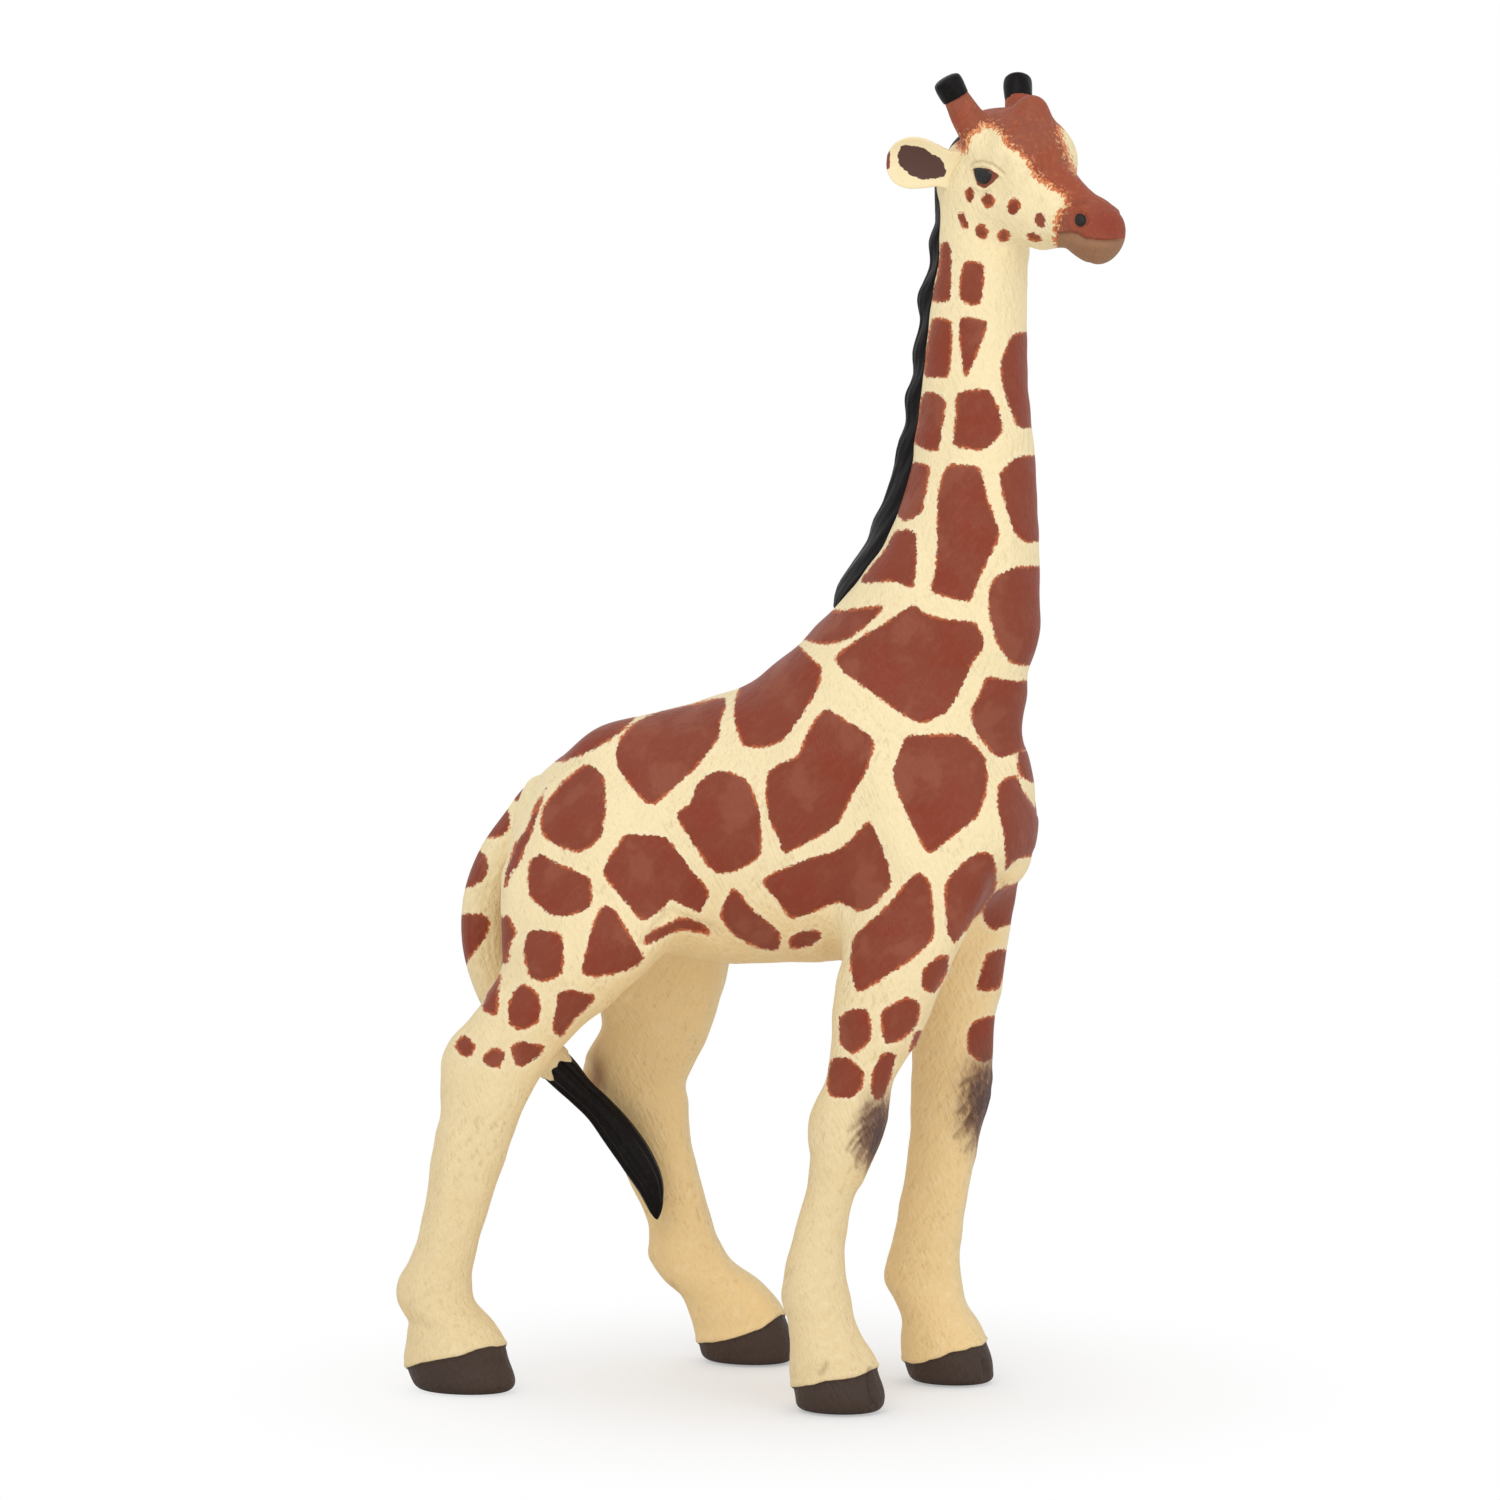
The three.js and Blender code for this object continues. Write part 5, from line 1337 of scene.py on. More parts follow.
for name, (places, faces) in skins.items():
    height = FOLD_STRENGTH * both_sides(places, normals[name], lines_height) + LUMP_HEIGHT * lumps(places)
    creases = both_sides(places, normals[name], lambda q: lines_height(q, CREASE_WIDTH))
    # Brown in the creases, partly a wash and partly painted shade, by how deep they are
    paints[name]["crease_wash_and_shade"] = np.clip(-creases / FULL_CREASE, 0, 1)
    if name == "head":
        height += face_height(paints[name])
    if name in HOOF_LINES:
        height += hoof_height(paints[name]["hoof_gap"])
        height *= smooth_step(0.0, SOLE_FADE, places[:, 2])
    skins[name] = (places + normals[name] * height[:, None], faces)
    print(name, "relief from", height.min().round(2), "to", height.max().round(2), "mm")

# %% [markdown]
# ## Grid surfaces for the mane, tail, ears and horn tips
# These pieces don't branch, so each is a grid of two parameters: one runs along the piece and one round
# it. A helper joins the grid's points into four-sided faces and closes both ends with a point.

# %% A closed tube from a grid
def tube_faces(rings, sides):
    """Faces between neighbouring rings, and fans to the two end points that follow the grid."""
    i, k = np.meshgrid(np.arange(rings - 1), np.arange(sides), indexing="ij")
    a, b = i * sides + k, i * sides + (k + 1) % sides
    walls = np.stack([a, b, b + sides, a + sides], -1).reshape(-1, 4)
    k = np.arange(sides)
    first, last = rings * sides, rings * sides + 1
    top = (rings - 1) * sides
    low_end = np.stack([np.full(sides, first), (k + 1) % sides, k], 1)
    high_end = np.stack([np.full(sides, last), top + k, top + (k + 1) % sides], 1)
    return walls.tolist() + low_end.tolist() + high_end.tolist()


def close_tube(grid):
    """Points of a grid of rings plus the middles of its first and last ring, and the faces."""
    rings, sides = grid.shape[:2]
    ends = np.stack([grid[0].mean(0), grid[-1].mean(0)])
    return np.concatenate([grid.reshape(-1, 3), ends]), tube_faces(rings, sides)


def round_angles(count):
    """Evenly spread angles once round, as one row."""
    return np.linspace(0, 2 * math.pi, count, endpoint=False)[None, :]


def round_ends(share, part):
    """Swell from nought at both ends to one: a quarter circle over the given part of the length."""
    reach = np.clip(np.minimum(share, 1 - share) / part, 0, 1)
    return np.sqrt(np.maximum(1 - (1 - reach) ** 2, 0))


HAIR_SWAY, HAIR_SWAY_PACE = 0.8, 0.7


def strands(along, around, seed, turns, lean):
    """Grooves of hair: the mean of a few waves round the piece, each leaning and swaying along it."""
    wave = np.zeros(np.broadcast(along, around).shape)
    chooser = np.random.default_rng(seed)
    for count in turns:
        phase, sway = chooser.uniform(0, 2 * math.pi, 2)
        swayed = HAIR_SWAY * np.sin(HAIR_SWAY_PACE * lean * along + sway)
        wave += np.sin(count * around + lean * along + phase + swayed)
    return wave / len(turns)


print("tube helpers ready")

# %% [markdown]
# ## Mane
# The mane is a stiff black ridge that lies in a groove down the back of the neck. Seen from the side its
# crest is scalloped, where the tufts of hair end. A profile is carried up the neck's back: narrow at the
# crest, wide where it meets the skin, and fine grooves run over it as hair.

# %% Shape of the mane
MANE_PROUD = 2.6
MANE_LEAST_WIDTH = 2.4
MANE_SET_DEPTH = 1.4
MANE_RINGS, MANE_SIDES = 420, 72
MANE_STRAND_DEPTH = 0.14
MANE_STRANDS = {"seed": 3, "turns": (3, 5, 8), "lean": 0.9}
# Start below the first row, and the rounded part at each end, in shares of the length
MANE_START, MANE_END = 0.02, 0.035
# How much narrower the crest is than the foot, how quickly it narrows, and the depth of the front half
MANE_NARROWING, MANE_NARROWING_POWER, MANE_FRONT = 0.42, 1.5, 0.6
# Over these places the top of the mane leans forward by this many mm
MANE_TOP, MANE_TOP_LEAN = (1.03, 1.15), 2.0
# Rows, in thousandths: height above the foot of the neck, how far the crest stands out, half width
MANE_SHARES = [
    (128, 500, 1150), (170, 920, 1520), (215, 1020, 1620), (260, 980, 1660), (310, 1160, 1550),
    (345, 1080, 1400), (385, 1040, 1300), (430, 980, 1160), (475, 1000, 1100), (520, 720, 1060),
    (580, 920, 1100), (630, 600, 1060), (680, 760, 1140), (740, 520, 1120), (800, 780, 1040),
    (860, 400, 1100), (915, 560, 1080), (960, 300, 1000), (1030, 400, 1000), (1100, 280, 950),
    (1150, 120, 800),
]


def mane_surface():
    """Rings behind the neck: an oval that reaches the crest behind and fills the groove in front."""
    read_mane, low, high = smooth_reader(shares_of(MANE_SHARES))
    share = np.linspace(0, 1, MANE_RINGS)
    place = low - MANE_START + (high - low + MANE_START) * share
    height = NECK_FOOT + place * NECK_LENGTH
    forward, _, half_depth, _ = smooth_reader(neck_rows)[0](height).T
    forward = forward + MANE_TOP_LEAN * smooth_step(*MANE_TOP, place)
    proud, wide = read_mane(place).T
    end = round_ends(share, MANE_END)[:, None]
    angle = round_angles(MANE_SIDES)
    back, aside = np.cos(angle), np.sin(angle)
    reach = np.where(back > 0, (MANE_SET_DEPTH + proud * MANE_PROUD)[:, None], MANE_FRONT * MANE_SET_DEPTH)
    crest = np.clip(back, 0, 1)
    half_width = MANE_LEAST_WIDTH * wide[:, None] * (1 - MANE_NARROWING * crest**MANE_NARROWING_POWER)
    groove = strands(height[:, None], 2 * angle, **MANE_STRANDS) * MANE_STRAND_DEPTH
    x = (forward - half_depth + MANE_SET_DEPTH)[:, None] - back * (reach * end + groove * crest)
    y = aside * (half_width * end + groove)
    z = np.broadcast_to(height[:, None], x.shape) - 0.5 * crest * groove
    return close_tube(np.stack([x, y, z], -1)[:, ::-1])


mane_places, mane_faces = mane_surface()
print("mane from", mane_places.min(0).round(1), "to", mane_places.max(0).round(1), "mm")

# %% [markdown]
# ## Tail
# The tail is one casting: a flat cream strip with its own patches that presses into the thigh, and a black
# tuft of hair that comes out of it. The strip's end is scalloped where the hair starts. Both follow one
# path, read from a table, and have an oval section.

# %% Shape of the tail
TAIL_LENGTH = 60.0
TAIL_WIDTH = 7.6
TAIL_THICKNESS = 5.4
TAIL_ROOT = np.array([-0.40 * TRUNK_LENGTH, 0.0, BELLY_HEIGHT + 0.575 * TRUNK_DEPTH])
STRIP_END = 0.657
TAIL_RINGS, TAIL_RING_SIDES = 200, 96
TAIL_HAIR_LEAN = 0.22
# Each dressed part of the tail: its stretch of the path, size against the casting, rounded part of each
# end, depth of the hair grooves, their seed and waves, and the length of the scallops at its end
STRIP = {"first": 0.0, "last": STRIP_END, "swell": 1.03, "taper": 0.012, "groove_depth": 0.08, "seed": 11,
         "turns": (9, 14, 22), "scallop": 0.6}
TUFT = {"first": STRIP_END - 0.05, "last": 1.0, "swell": 0.9, "taper": 0.05, "groove_depth": 0.24, "seed": 7,
        "turns": (5, 8, 12), "scallop": 0.0}
# The scallops: waves round the end, with their heights and turns, and how suddenly they set in
SCALLOP_WAVES = ((1.0, 4, 0.0), (0.6, 7, 1.0))
SCALLOP_POWER = 12
# Rows, in thousandths: back, aside and drop in tail lengths, then half width and half thickness
TAIL_SHARES = [
    (0, 0, 0, 340, 360), (70, 0, 36, 460, 600), (131, 0, 102, 500, 570), (186, 3, 180, 530, 580),
    (222, 10, 272, 520, 570), (230, 27, 383, 480, 540), (202, 57, 500, 420, 500), (140, 87, 600, 380, 490),
    (103, 102, 638, 360, 460), (75, 112, 668, 330, 450), (40, 125, 708, 280, 390), (0, 134, 748, 280, 400),
    (-41, 142, 800, 340, 460), (-83, 150, 862, 350, 460), (-110, 155, 912, 280, 380),
    (-122, 157, 955, 170, 240), (-128, 158, 995, 50, 70),
]


def tail_path(share):
    """Place, way, width and thickness at a share of the path, read by its length."""
    rows = shares_of(TAIL_SHARES)
    lengths = np.concatenate([[0], np.cumsum(np.linalg.norm(np.diff(rows[:, :3], axis=0), axis=1))])
    read, _, _ = smooth_reader(np.column_stack([lengths / lengths[-1], rows]))
    values = read(share)
    place = TAIL_ROOT + values[:, :3] * (-1, 1, -1) * TAIL_LENGTH
    way = unit(np.gradient(place, axis=0))
    return place, way, values[:, 3] * TAIL_WIDTH, values[:, 4] * TAIL_THICKNESS


def tail_surface(first, last, swell, taper, groove_depth, seed, turns, scallop):
    """Oval rings square to the path; hair grooves follow it, and both ends are rounded or scalloped."""
    share = np.linspace(0, 1, TAIL_RINGS)
    place, way, half_width, half_thickness = tail_path(first + (last - first) * share)
    across = unit(np.array([0.0, 1.0, 0.0]) - way * way[:, 1:2])
    thick = np.cross(way, across)
    angle = round_angles(TAIL_RING_SIDES)
    end = round_ends(share, taper)[:, None]
    run = share[:, None] * (last - first) * TAIL_LENGTH
    groove = strands(run, angle, seed, turns, TAIL_HAIR_LEAN) * groove_depth
    s = ((half_width[:, None] * swell) * end + groove * end) * np.cos(angle)
    t = ((half_thickness[:, None] * swell) * end + groove * end) * np.sin(angle)
    grid = place[:, None, :] + s[..., None] * across[:, None, :] + t[..., None] * thick[:, None, :]
    teeth = sum(height * np.sin(count * angle + turned) for height, count, turned in SCALLOP_WAVES)
    grid = grid + (scallop * share[:, None] ** SCALLOP_POWER * teeth)[..., None] * way[:, None, :]
    return close_tube(grid)


strip_places, strip_faces = tail_surface(**STRIP)
tuft_places, tuft_faces = tail_surface(**TUFT)
print("tail strip and tuft:", len(strip_places), len(tuft_places), "points")

# %% [markdown]
# ## Ears
# An ear is a cupped leaf on a short stalk, thick at the rim and hollow in front. One parameter runs along
# the leaf and the other round its thin section, which is bowed so that its front is hollow.

# %% Shape of an ear
EAR_LENGTH = 10.4
EAR_WIDTH = 6.8
EAR_THICKNESS = 1.6
EAR_CUP = 0.3
EAR_RINGS, EAR_RING_SIDES = 120, 96
EAR_ROOT = (-0.04, 0.30, -0.015)
EAR_WAY = np.array([-0.60, 0.80, 0.0])
# Rings crowd toward the tip; the rim is thicker than the leaf, and the tip under this width thins out
RING_CROWDING = 1.1
RIM_SWELL, RIM_POWER = 0.5, 6
THIN_BELOW = 1.2
LEAST_WIDTH = 0.02
# Rows, in thousandths: place along the ear, half width, thickness
EAR_LEAF_SHARES = [
    (0, 460, 1300), (140, 400, 1250), (280, 380, 1050), (460, 460, 800), (660, 520, 620), (820, 480, 550),
    (930, 350, 500), (980, 200, 400), (1000, 0, 200),
]
read_ear = smooth_reader(shares_of(EAR_LEAF_SHARES))[0]


def ear_axes(side):
    """Root, the way along the leaf and the way across it, in the sculpt."""
    root = out_of_head(head_point(EAR_ROOT, side)[None])[0]
    way = EAR_WAY * (1, side, 1) @ HEAD_AXES.T
    return root, way, np.array([0.0, 0.0, float(side)]) @ HEAD_AXES.T


def ear_surface(side):
    """Thin oval rings along the leaf, bowed by a share of the width times cosine squared."""
    root, way, across = ear_axes(side)
    share = np.sin(np.linspace(0, math.pi / 2, EAR_RINGS)) ** RING_CROWDING
    wide, thick = read_ear(share).T
    wide = np.maximum(wide * EAR_WIDTH, LEAST_WIDTH)[:, None]
    angle = round_angles(EAR_RING_SIDES)
    cos, sin = np.cos(angle), np.sin(angle)
    rim = 1 + RIM_SWELL * cos**RIM_POWER
    s = wide * cos
    t = thick[:, None] * EAR_THICKNESS / 2 * rim * sin * np.minimum(1, wide / THIN_BELOW)
    t = t + EAR_CUP * wide * cos**2
    front = np.cross(way, across)
    grid = root + share[:, None, None] * EAR_LENGTH * way + s[..., None] * across + t[..., None] * front
    return close_tube(grid)


ears = {"right_ear": ear_surface(-1), "left_ear": ear_surface(1)}
print("ears:", {name: len(faces) for name, (_, faces) in ears.items()})

# %% [markdown]
# ## Horn tips
# Each horn ends in a black drum with a soft rounded edge, a little lumpy as cast. It is a profile turned
# round the horn's axis.

# %% Shape of a horn tip
HORN_TIP_LENGTHS = {-1: 3.0, 1: 3.82}
HORN_TIP_GAP = 0.05
TIP_RINGS, TIP_SIDES = 60, 64
# Lumps of the tip's radius: a wave of two round it and a wave of three that turns as it rises
TIP_LUMPS = (0.03, 0.02)
TIP_TURN, TIP_RISE = 1.5, 4.0
# Rows: a running place, then radius and height in shares of the horn's radius and the tip's length
TIP_PROFILE = [
    (0.0, 0.02, 0.02), (0.6, 0.90, 0.0), (1.0, 0.98, 0.08), (1.5, 1.02, 0.30), (2.0, 1.04, 0.62),
    (2.4, 0.96, 0.85), (2.8, 0.66, 0.96), (3.3, 0.30, 0.995), (3.6, 0.02, 1.0),
]


def horn_tip_surface(side):
    """Profile turned round the horn's axis, with a slow dent of a few hundredths of its radius."""
    _, seam, way = horn_axis(side)
    read, low, high = smooth_reader(TIP_PROFILE)
    radius, height = read(np.linspace(low, high, TIP_RINGS)).T
    angle = round_angles(TIP_SIDES)
    lump = 1 + TIP_LUMPS[0] * np.sin(2 * angle + TIP_TURN * side)
    lump = lump + TIP_LUMPS[1] * np.sin(3 * angle + TIP_RISE * height[:, None])
    across = unit(np.cross(way, (1.0, 0.0, 0.0)))
    other = np.cross(way, across)
    out = (radius[:, None] * lump * HORN_RADIUS)[..., None]
    ring = np.cos(angle)[..., None] * across + np.sin(angle)[..., None] * other
    grid = seam + way * (HORN_TIP_GAP + height[:, None, None] * HORN_TIP_LENGTHS[side]) + out * ring
    return close_tube(out_of_head(grid))


horn_tips = {"right_horn_tip": horn_tip_surface(-1), "left_horn_tip": horn_tip_surface(1)}
print("horn tips:", {name: len(faces) for name, (_, faces) in horn_tips.items()})

# %% [markdown]
# ## Paint as materials
# The figure is sprayed cream, and the patches, face, hooves and spots are brushed on with satin paint.
# What several paints share is a node group: a ragged brush edge, slow changes of tone, and the fine hair
# strokes cut in the mould. Each group is made once and used with its own values.

# %% Small helpers for paint
def paint_colour(red, green, blue):
    """Colour as seen (0 to 255) to the linear light that Blender works in, by the sRGB curve."""
    share = np.array([red, green, blue]) / 255
    linear = np.where(share <= 0.04045, share / 12.92, ((share + 0.055) / 1.055) ** 2.4)
    return (*linear.tolist(), 1.0)


def over(tree, share, under, top):
    """One colour over another by a share."""
    return add_node(tree, "ShaderNodeMix", {0: share, 6: under, 7: top}, data_type="RGBA").outputs[2]


def reading(tree, name):
    """A reading kept on the mesh."""
    return add_node(tree, "ShaderNodeAttribute", attribute_name=name).outputs["Fac"]


def noise(tree, place, scale, detail=2.0, roughness=0.5):
    """Cloudy noise with features about one over the scale wide, in metres."""
    given = {"Vector": place, "Scale": scale, "Detail": detail, "Roughness": roughness}
    return add_node(tree, "ShaderNodeTexNoise", given).outputs["Fac"]


def drawn_out(tree, place, turned, scale):
    """The place turned and divided by a scale, so that noise read there is stretched along one way."""
    return add_node(tree, "ShaderNodeMapping", {"Vector": place, "Rotation": turned, "Scale": scale},
                    vector_type="TEXTURE").outputs[0]


def bump(tree, height, strength, distance):
    """The normal that a height gives, for a distance in metres."""
    given = {"Height": height, "Strength": strength, "Distance": distance}
    return add_node(tree, "ShaderNodeBump", given).outputs[0]


def new_group(name, inputs, outputs):
    """Empty node group with number or vector inputs and number outputs."""
    group = bpy.data.node_groups.new(name, "ShaderNodeTree")
    for socket, value in inputs.items():
        kind = "NodeSocketVector" if value is None else "NodeSocketFloat"
        made = group.interface.new_socket(name=socket, in_out="INPUT", socket_type=kind)
        if value is not None:
            made.default_value = value
    for socket in outputs:
        group.interface.new_socket(name=socket, in_out="OUTPUT", socket_type="NodeSocketFloat")
    return group, group.nodes.new("NodeGroupInput").outputs, group.nodes.new("NodeGroupOutput").inputs


def use_group(tree, group, **inputs):
    """Places a group in a material; its inputs are given by name, with _ for a space."""
    named = {key.replace("_", " "): value for key, value in inputs.items()}
    return add_node(tree, "ShaderNodeGroup", named, node_tree=group).outputs


print("shader helpers ready")

# %% Shared effect: the ragged edge of a brushed patch
def make_ragged_edge():
    """Mask: one inside, where gap plus noise is below nought. Rim: one on the edge. Halo: fades outwards."""
    group, given, result = new_group("ragged_edge", {
        "Place": None, "Gap": 0.0, "Ragged": 0.3, "Fineness": 2500.0, "Stretch": 1.0, "Softness": 0.06,
        "Rim Width": 0.3, "Halo Width": 0.6,
    }, ["Mask", "Rim", "Halo"])
    scale = add_node(group, "ShaderNodeCombineXYZ", {0: 1.0, 1: 1.0, 2: given["Stretch"]}).outputs[0]
    drawn = drawn_out(group, given["Place"], (0.2, 0.6, 0.0), scale)
    rough = noise(group, drawn, given["Fineness"], 3.0, 0.6)
    shifted = calc(group, "MULTIPLY_ADD", calc(group, "SUBTRACT", rough, 0.5), given["Ragged"], given["Gap"])
    minus_soft = calc(group, "MULTIPLY", given["Softness"], -1.0)
    fill(group, result, {
        "Mask": eased(group, shifted, given["Softness"], minus_soft),
        "Rim": eased(group, calc(group, "ABSOLUTE", shifted), given["Rim Width"], 0.0),
        "Halo": eased(group, shifted, given["Halo Width"], 0.0),
    })
    return group


RAGGED_EDGE = make_ragged_edge()
print("group:", RAGGED_EDGE.name)

# %% Shared effect: slow changes of tone and brush streaks
def make_brushed_tone():
    """Cloud: slow noise. Streak: noise stretched along a slanted line, as a brush leaves it."""
    inputs = {"Place": None, "Cloud Size": 160.0, "Streak Size": 900.0}
    group, given, result = new_group("brushed_tone", inputs, ["Cloud", "Streak"])
    stretched = drawn_out(group, given["Place"], (0.15, 0.8, 0.0), (1.0, 1.0, 3.5))
    fill(group, result, {
        "Cloud": noise(group, given["Place"], given["Cloud Size"], 3.0, 0.55),
        "Streak": noise(group, stretched, given["Streak Size"], 3.0, 0.6),
    })
    return group


BRUSHED_TONE = make_brushed_tone()
print("group:", BRUSHED_TONE.name)

# %% Shared effect: fine hair strokes cut in the mould
# Two layers of strokes: how much finer than the stroke size, the share of the height, and the lean
STROKE_LAYERS = [(1.0, 0.55, 1.0), (1.9, 0.45, -0.6)]
STROKE_STRETCH = 4.5


def make_hair_strokes():
    """Height as a share: two layers of stretched noise that lean both ways, fine strokes over longer ones."""
    inputs = {"Place": None, "Stroke Size": 1100.0, "Lean": 0.6}
    group, given, result = new_group("hair_strokes", inputs, ["Height"])
    total = 0.0
    for finer, share, turned in STROKE_LAYERS:
        lean = calc(group, "MULTIPLY", given["Lean"], turned)
        way = add_node(group, "ShaderNodeCombineXYZ", {0: 0.2, 1: lean, 2: 0.0}).outputs[0]
        strokes = drawn_out(group, given["Place"], way, (1 / finer, 1 / finer, STROKE_STRETCH / finer))
        total = calc(group, "MULTIPLY_ADD", noise(group, strokes, given["Stroke Size"]), share, total)
    fill(group, result, {"Height": total})
    return group


HAIR_STROKES = make_hair_strokes()
print("group:", HAIR_STROKES.name)

# %% [markdown]
# ## The painted coat
# One material dresses torso, neck, head and legs, because one hand painted across their filled seams.
# Paints lie over each other in the order in which they were brushed: cream, a tan low on the legs,
# patches, face, lip, eye and nostril, then hooves and the airbrushed knees. On the cream lies a tan
# painted as shade between and under the legs, and in the creases a brown that is partly a wash and
# partly painted shade.

# %% Colours of the coat
CREAM = paint_colour(243, 225, 180)
LOW_CREAM = paint_colour(230, 207, 160)
# Tan painted as shade between and under the legs
PAINTED_SHADE_TAN = paint_colour(240, 206, 146)
WASH_TAN = paint_colour(190, 162, 112)
# Brown in the creases: partly a wash, partly painted shade
CREASE_WASH_AND_SHADE_BROWN = paint_colour(92, 62, 48)
HALO_CREAM = paint_colour(248, 232, 196)
PATCH_BROWN = paint_colour(132, 60, 38)
PATCH_LIGHT = paint_colour(146, 80, 58)
PATCH_RED = paint_colour(134, 52, 29)
RIM_ORANGE = paint_colour(198, 104, 56)
FACE_BROWN = paint_colour(154, 74, 48)
FACE_FUZZ = paint_colour(206, 118, 70)
FACE_FLECK = paint_colour(240, 190, 136)
MUZZLE_RED = paint_colour(138, 54, 36)
LIP_TAN = paint_colour(152, 110, 80)
EYE_RIM_BROWN = paint_colour(140, 74, 56)
EYE_BLACK = paint_colour(20, 18, 18)
NOSTRIL_BLACK = paint_colour(26, 21, 21)
HOOF_BROWN = paint_colour(64, 49, 41)
KNEE_BROWN = paint_colour(120, 72, 54)
KNEE_GREY = paint_colour(70, 50, 54)
# Darker brown beside the tuft on the left hind leg
TUFT_SIDE_BROWN = paint_colour(150, 92, 58)
print("cream in linear light:", [round(v, 3) for v in CREAM])

# %% Laying one paint over another
def mixed_in(tree, colour, value, layers):
    """Colours over a colour, each from nought to its share while a value goes from its low to its high."""
    for low, high, share, paint in layers:
        colour = over(tree, eased(tree, value, low, high, 0.0, share), colour, paint)
    return colour


def toned(tree, place, colour, cloud_size, streak_size, clouds, streaks):
    """A colour with layers that follow slow clouds, and others that follow brush streaks."""
    tone = use_group(tree, BRUSHED_TONE, Place=place, Cloud_Size=cloud_size, Streak_Size=streak_size)
    return mixed_in(tree, mixed_in(tree, colour, tone["Cloud"], clouds), tone["Streak"], streaks)


def brushed(tree, place, colour, paint, gap, **edge):
    """A paint over a colour inside a gap, with a ragged edge; and that edge's masks."""
    masks = use_group(tree, RAGGED_EDGE, Place=place, Gap=gap, **edge)
    return over(tree, masks["Mask"], colour, paint), masks


def shaded(tree, colour, name, share, paint):
    """A paint over a colour by a reading times a share."""
    return over(tree, calc(tree, "MULTIPLY", reading(tree, name), share), colour, paint)


print("paint helpers ready")

# %% Cream and patches
# Heights in metres over which the cream turns tan, and over which the wash in the strokes gets its strength
TAN_HEIGHTS = (0.085, 0.015)
WASH_HEIGHTS = (0.13, 0.095)
PATCH_CLOUDS = [(0.50, 0.64, 0.7, PATCH_RED), (0.48, 0.36, 0.6, PATCH_LIGHT)]
PATCH_STREAKS = [(0.45, 0.75, 0.30, PATCH_LIGHT)]


def cream_ground(tree, place, strokes):
    """Cream, tanner low down, with a tan painted as shade between and under the legs, and a thin wash in the
    body's hair strokes.
    """
    height = add_node(tree, "ShaderNodeSeparateXYZ", {0: place}).outputs["Z"]
    colour = over(tree, eased(tree, height, *TAN_HEIGHTS), CREAM, LOW_CREAM)
    # Painted shade: tan where the surface faces inward between the legs or down under the body
    colour = shaded(tree, colour, "painted_inner_shade", 0.7, PAINTED_SHADE_TAN)
    tone = use_group(tree, BRUSHED_TONE, Place=place, Cloud_Size=140.0, Streak_Size=900.0)
    cloudy = eased(tree, tone["Cloud"], 0.42, 0.62, 0.1, 1.0)
    wash = calc(tree, "MULTIPLY", eased(tree, strokes, 0.49, 0.33), cloudy)
    wash = calc(tree, "MULTIPLY", wash, eased(tree, height, *WASH_HEIGHTS, 0.16, 0.38))
    colour = over(tree, wash, colour, WASH_TAN)
    return mixed_in(tree, colour, tone["Streak"], [(0.5, 0.75, 0.25, HALO_CREAM)])


def patch_paint(tree, place, colour, gap, ragged):
    """Streaky brown inside a gap, with a thin orange line at its edge and a pale halo outside."""
    brown = toned(tree, place, PATCH_BROWN, 170.0, 1500.0, PATCH_CLOUDS, PATCH_STREAKS)
    edge = use_group(tree, RAGGED_EDGE, Place=place, Gap=gap, Ragged=ragged, Fineness=2000.0, Softness=0.05,
                     Rim_Width=0.30, Halo_Width=0.7)
    colour = over(tree, calc(tree, "MULTIPLY", edge["Halo"], 0.5), colour, HALO_CREAM)
    colour = over(tree, edge["Mask"], colour, brown)
    thin = eased(tree, noise(tree, place, 420.0), 0.40, 0.60, 0.2, 1.0)
    return over(tree, calc(tree, "MULTIPLY", edge["Rim"], thin), colour, RIM_ORANGE), edge["Mask"]


print("cream and patch paint ready")

# %% The head's own paints
FACE_CLOUDS = [(0.42, 0.60, 0.8, PATCH_LIGHT)]
FACE_STREAKS = [(0.50, 0.72, 0.30, FACE_FUZZ)]
# Small paints of the head: reading, raggedness in mm and colour
SMALL_PAINTS = [("lip_gap", 0.25, LIP_TAN), ("rim_gap", 0.2, EYE_RIM_BROWN), ("ball_gap", 0.05, EYE_BLACK),
                ("nostril_gap", 0.1, NOSTRIL_BLACK)]


def face_paint(tree, place, colour):
    """Orange fuzz, then brown with pale flecks at its edge, then muzzle, lip, eye and nostril."""
    gap = reading(tree, "face_gap")
    brown = toned(tree, place, FACE_BROWN, 180.0, 1500.0, FACE_CLOUDS, FACE_STREAKS)
    for shift, ragged, paint in ((-0.40, 2.6, FACE_FUZZ), (0.10, 2.0, brown)):
        colour, fuzz = brushed(tree, place, colour, paint, calc(tree, "ADD", gap, shift), Ragged=ragged,
                               Fineness=2600.0, Stretch=2.5, Softness=0.07, Rim_Width=0.9)
    flecks = calc(tree, "MULTIPLY", fuzz["Rim"], eased(tree, noise(tree, place, 2600.0, 1.0), 0.54, 0.64))
    colour = over(tree, calc(tree, "MULTIPLY", flecks, 0.8), colour, FACE_FLECK)
    colour = shaded(tree, colour, "muzzle_shade", 0.85, MUZZLE_RED)
    for name, ragged, paint in SMALL_PAINTS:
        colour, _ = brushed(tree, place, colour, paint, reading(tree, name), Ragged=ragged, Fineness=2200.0,
                            Softness=0.04)
    return colour


print("face paint ready")

# %% The coat material
KNEE_LAYERS = [(0.06, 0.60, 0.8, KNEE_BROWN), (0.30, 0.95, 0.85, KNEE_GREY)]


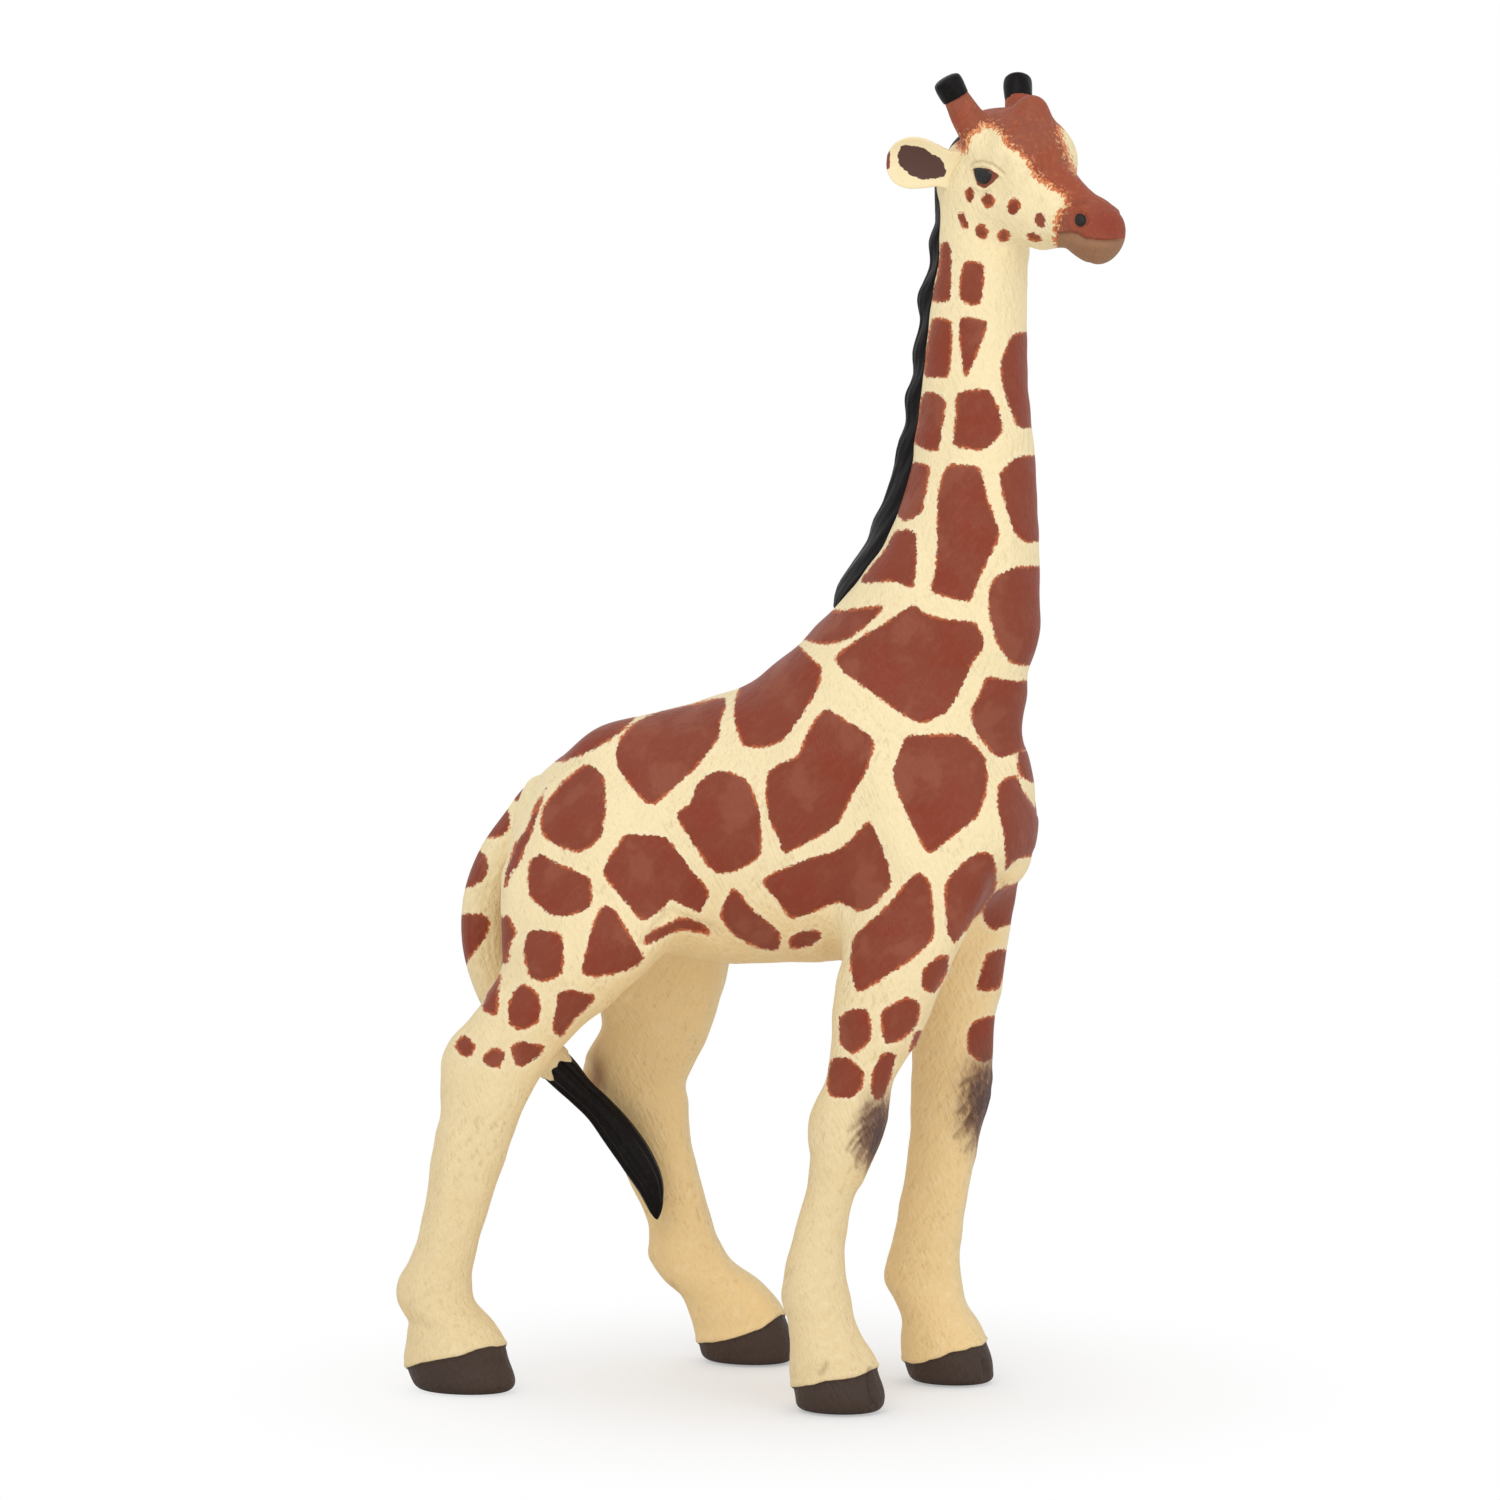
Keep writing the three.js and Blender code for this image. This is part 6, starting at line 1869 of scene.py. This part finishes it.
def make_coat(name, with_face=False, with_hoof=False, with_knee=False):
    """The coat, with the paints that this casting has."""
    material, tree, shader, place = new_material(name)
    strokes = use_group(tree, HAIR_STROKES, Place=place, Stroke_Size=1350.0)["Height"]
    colour = cream_ground(tree, place, strokes)
    colour, patch = patch_paint(tree, place, colour, reading(tree, "coat_gap"), 0.95)
    depth = eased(tree, patch, 0.0, 1.0, 1.0, 0.55)
    if with_face:
        colour = face_paint(tree, place, colour)
        wet = calc(tree, "MAXIMUM", eased(tree, reading(tree, "ball_gap"), 0.08, -0.04, 0.0, 0.35),
                   eased(tree, reading(tree, "nostril_gap"), 0.06, -0.06, 0.0, 0.12))
        fill(tree, shader.inputs, {"Coat Weight": wet, "Coat Roughness": 0.12})
    if with_knee:
        knee = reading(tree, "knee_shade")
        # The knee's brown is darker in the stroke grooves and lighter on the ridges: partly airbrush, partly
        # painted shade of the wrinkles
        uneven = calc(tree, "MULTIPLY_ADD", calc(tree, "SUBTRACT", 0.5, strokes), 1.9, 1.0)
        colour = mixed_in(tree, colour, calc(tree, "MULTIPLY", uneven, knee), KNEE_LAYERS)
        depth = calc(tree, "MULTIPLY_ADD", knee, 1.6, depth)
    elif with_hoof:
        # A darker brown on the left hind leg beside the tuft
        colour = shaded(tree, colour, "tuft_side_spray", 0.8, TUFT_SIDE_BROWN)
    # Brown in the creases: partly a wash, partly painted shade
    colour = shaded(tree, colour, "crease_wash_and_shade", 0.35, CREASE_WASH_AND_SHADE_BROWN)
    if with_hoof:
        colour, _ = brushed(tree, place, colour, HOOF_BROWN, reading(tree, "hoof_gap"), Ragged=0.35,
                            Fineness=500.0, Softness=0.06)
    relief = calc(tree, "MULTIPLY_ADD", strokes, depth, calc(tree, "MULTIPLY", patch, -0.2))
    fill(tree, shader.inputs, {
        "Base Color": colour,
        "Roughness": eased(tree, patch, 0.0, 1.0, 0.54, 0.48),
        "Normal": bump(tree, relief, 0.9, 0.00055),
        "Specular IOR Level": 0.25,
    })
    return material


coats = {
    "torso": make_coat("painted_body"),
    "head": make_coat("painted_head", with_face=True),
    "front_leg": make_coat("painted_front_leg", with_hoof=True, with_knee=True),
    "hind_leg": make_coat("painted_hind_leg", with_hoof=True),
}
coats["neck"] = coats["torso"]
print("coat materials:", sorted(m.name for m in coats.values()))

# %% [markdown]
# ## Black hair, horn tips, ears and tail
# Mane, tuft and horn tips are glossy black with a trace of brown in worn streaks. The ears are cream with a
# dark hollow, and the tail strip carries four patches of its own.

# %% Black gloss
HAIR_BLACK = paint_colour(17, 14, 14)
WORN_BLACK = paint_colour(36, 31, 30)


def make_black_gloss(name, roughness):
    """Near-black with slow worn places, fine grooves and a satin shine."""
    material, tree, shader, place = new_material(name)
    tone = use_group(tree, BRUSHED_TONE, Place=place, Cloud_Size=300.0, Streak_Size=1800.0)
    strokes = use_group(tree, HAIR_STROKES, Place=place, Stroke_Size=1600.0)["Height"]
    fill(tree, shader.inputs, {
        "Base Color": mixed_in(tree, HAIR_BLACK, tone["Streak"], [(0.5, 0.72, 0.5, WORN_BLACK)]),
        "Roughness": eased(tree, tone["Cloud"], 0.3, 0.7, roughness, roughness + 0.12),
        "Normal": bump(tree, strokes, 0.45, 0.0002),
        "Specular IOR Level": 0.1,
    })
    return material


black_gloss = make_black_gloss("black_hair_gloss", 0.32)
horn_black = make_black_gloss("horn_tip_black", 0.36)
print("black materials:", black_gloss.name, horn_black.name)

# %% Ears and tail
EAR_DARK = paint_colour(78, 46, 34)
EAR_OVAL = [112, 560, 132, 522, 175, 514, 230, 522, 290, 548, 345, 578, 385, 622, 403, 670, 385, 702,
    330, 716, 270, 722, 215, 708, 150, 668, 110, 620]
EAR_LINE = [34, 540, 56, 540, 62, 590, 58, 650, 34, 655]
# Least width in mm in the ear's bow, and the gap in mm added behind the ear, where nothing is dark
LEAST_BOW_WIDTH = 0.3
BEHIND_GAP = 2.0


def ear_paint(p, side):
    """Gap to the dark hollow, kept to the ear's hollow face, and to the thin line on its rim."""
    root, way, across = ear_axes(side)
    wide = read_ear((p - root) @ way / EAR_LENGTH)[:, 0] * EAR_WIDTH
    bow = EAR_CUP * ((p - root) @ across) ** 2 / np.maximum(wide, LEAST_BOW_WIDTH)
    behind = np.where((p - root) @ np.cross(way, across) - bow > 0, 0.0, BEHIND_GAP)
    pixels = picture_place(p if side < 0 else out_of_head(into_head(p) * (1, -1, 1)))
    return {"hollow_gap": behind + nearest_gap(pixels, face_outline(EAR_OVAL)),
            "line_gap": nearest_gap(pixels, face_outline(EAR_LINE))}


def make_ear_coat():
    """Cream with the dark hollow and the thin rim line."""
    material, tree, shader, place = new_material("painted_ear")
    strokes = use_group(tree, HAIR_STROKES, Place=place)["Height"]
    colour = cream_ground(tree, place, strokes)
    for name, ragged, paint in (("hollow_gap", 0.8, EAR_DARK), ("line_gap", 0.4, PATCH_BROWN)):
        colour, _ = brushed(tree, place, colour, paint, reading(tree, name), Ragged=ragged, Fineness=1500.0,
                            Softness=0.05)
    fill(tree, shader.inputs, {
        "Base Color": colour, "Roughness": 0.5, "Normal": bump(tree, strokes, 0.4, 0.0002),
    })
    return material


paints["right_ear"] = ear_paint(ears["right_ear"][0], -1)
paints["left_ear"] = ear_paint(ears["left_ear"][0], 1)
paints["tail_strip"] = {"coat_gap": nearest_gap(picture_place(strip_places), TAIL_PATCHES)}
coats["ear"] = make_ear_coat()
coats["tail_strip"] = make_coat("painted_tail")
print("materials:", len(bpy.data.materials))

# %% [markdown]
# ## Putting the pieces in the frame
# The figure has no joints, so every piece rides on the one body. Each piece stands for its casting in the
# imported model, which stays there unseen, and gets the finish of its kind of piece.

# %% Objects and bodies
SURFACES = {**skins, **ears, **horn_tips, "mane": (mane_places, mane_faces),
            "tail_strip": (strip_places, strip_faces), "tail_tuft": (tuft_places, tuft_faces)}
FINISHES = {**coats, "mane": black_gloss, "tail_tuft": black_gloss, "horn_tip": horn_black}
SLOTS = {"mane": "black_hair", "horn_tip": "black_hair", "tail_strip": "tail_coat", "tail_tuft": "tail_coat"}


def keep_paint(piece, paint):
    """Writes each reading to the mesh as one number per point."""
    for key, values in paint.items():
        attribute = piece.data.attributes.new(key, "FLOAT", "POINT")
        attribute.data.foreach_set("value", np.asarray(values, np.float32))


for name, surface in SURFACES.items():
    kind = name.removeprefix("right_").removeprefix("left_")
    node = "tail" if name.startswith("tail") else name
    piece = mesh_piece(name if node == "tail" else name + "_painted", *surface)
    piece.data.materials.append(FINISHES[kind])
    keep_paint(piece, paints.get(name, {}))
    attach(piece, "root")
    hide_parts(node)
    SLOTS.get(kind, "coat")
    print(name, len(piece.data.polygons), "faces")
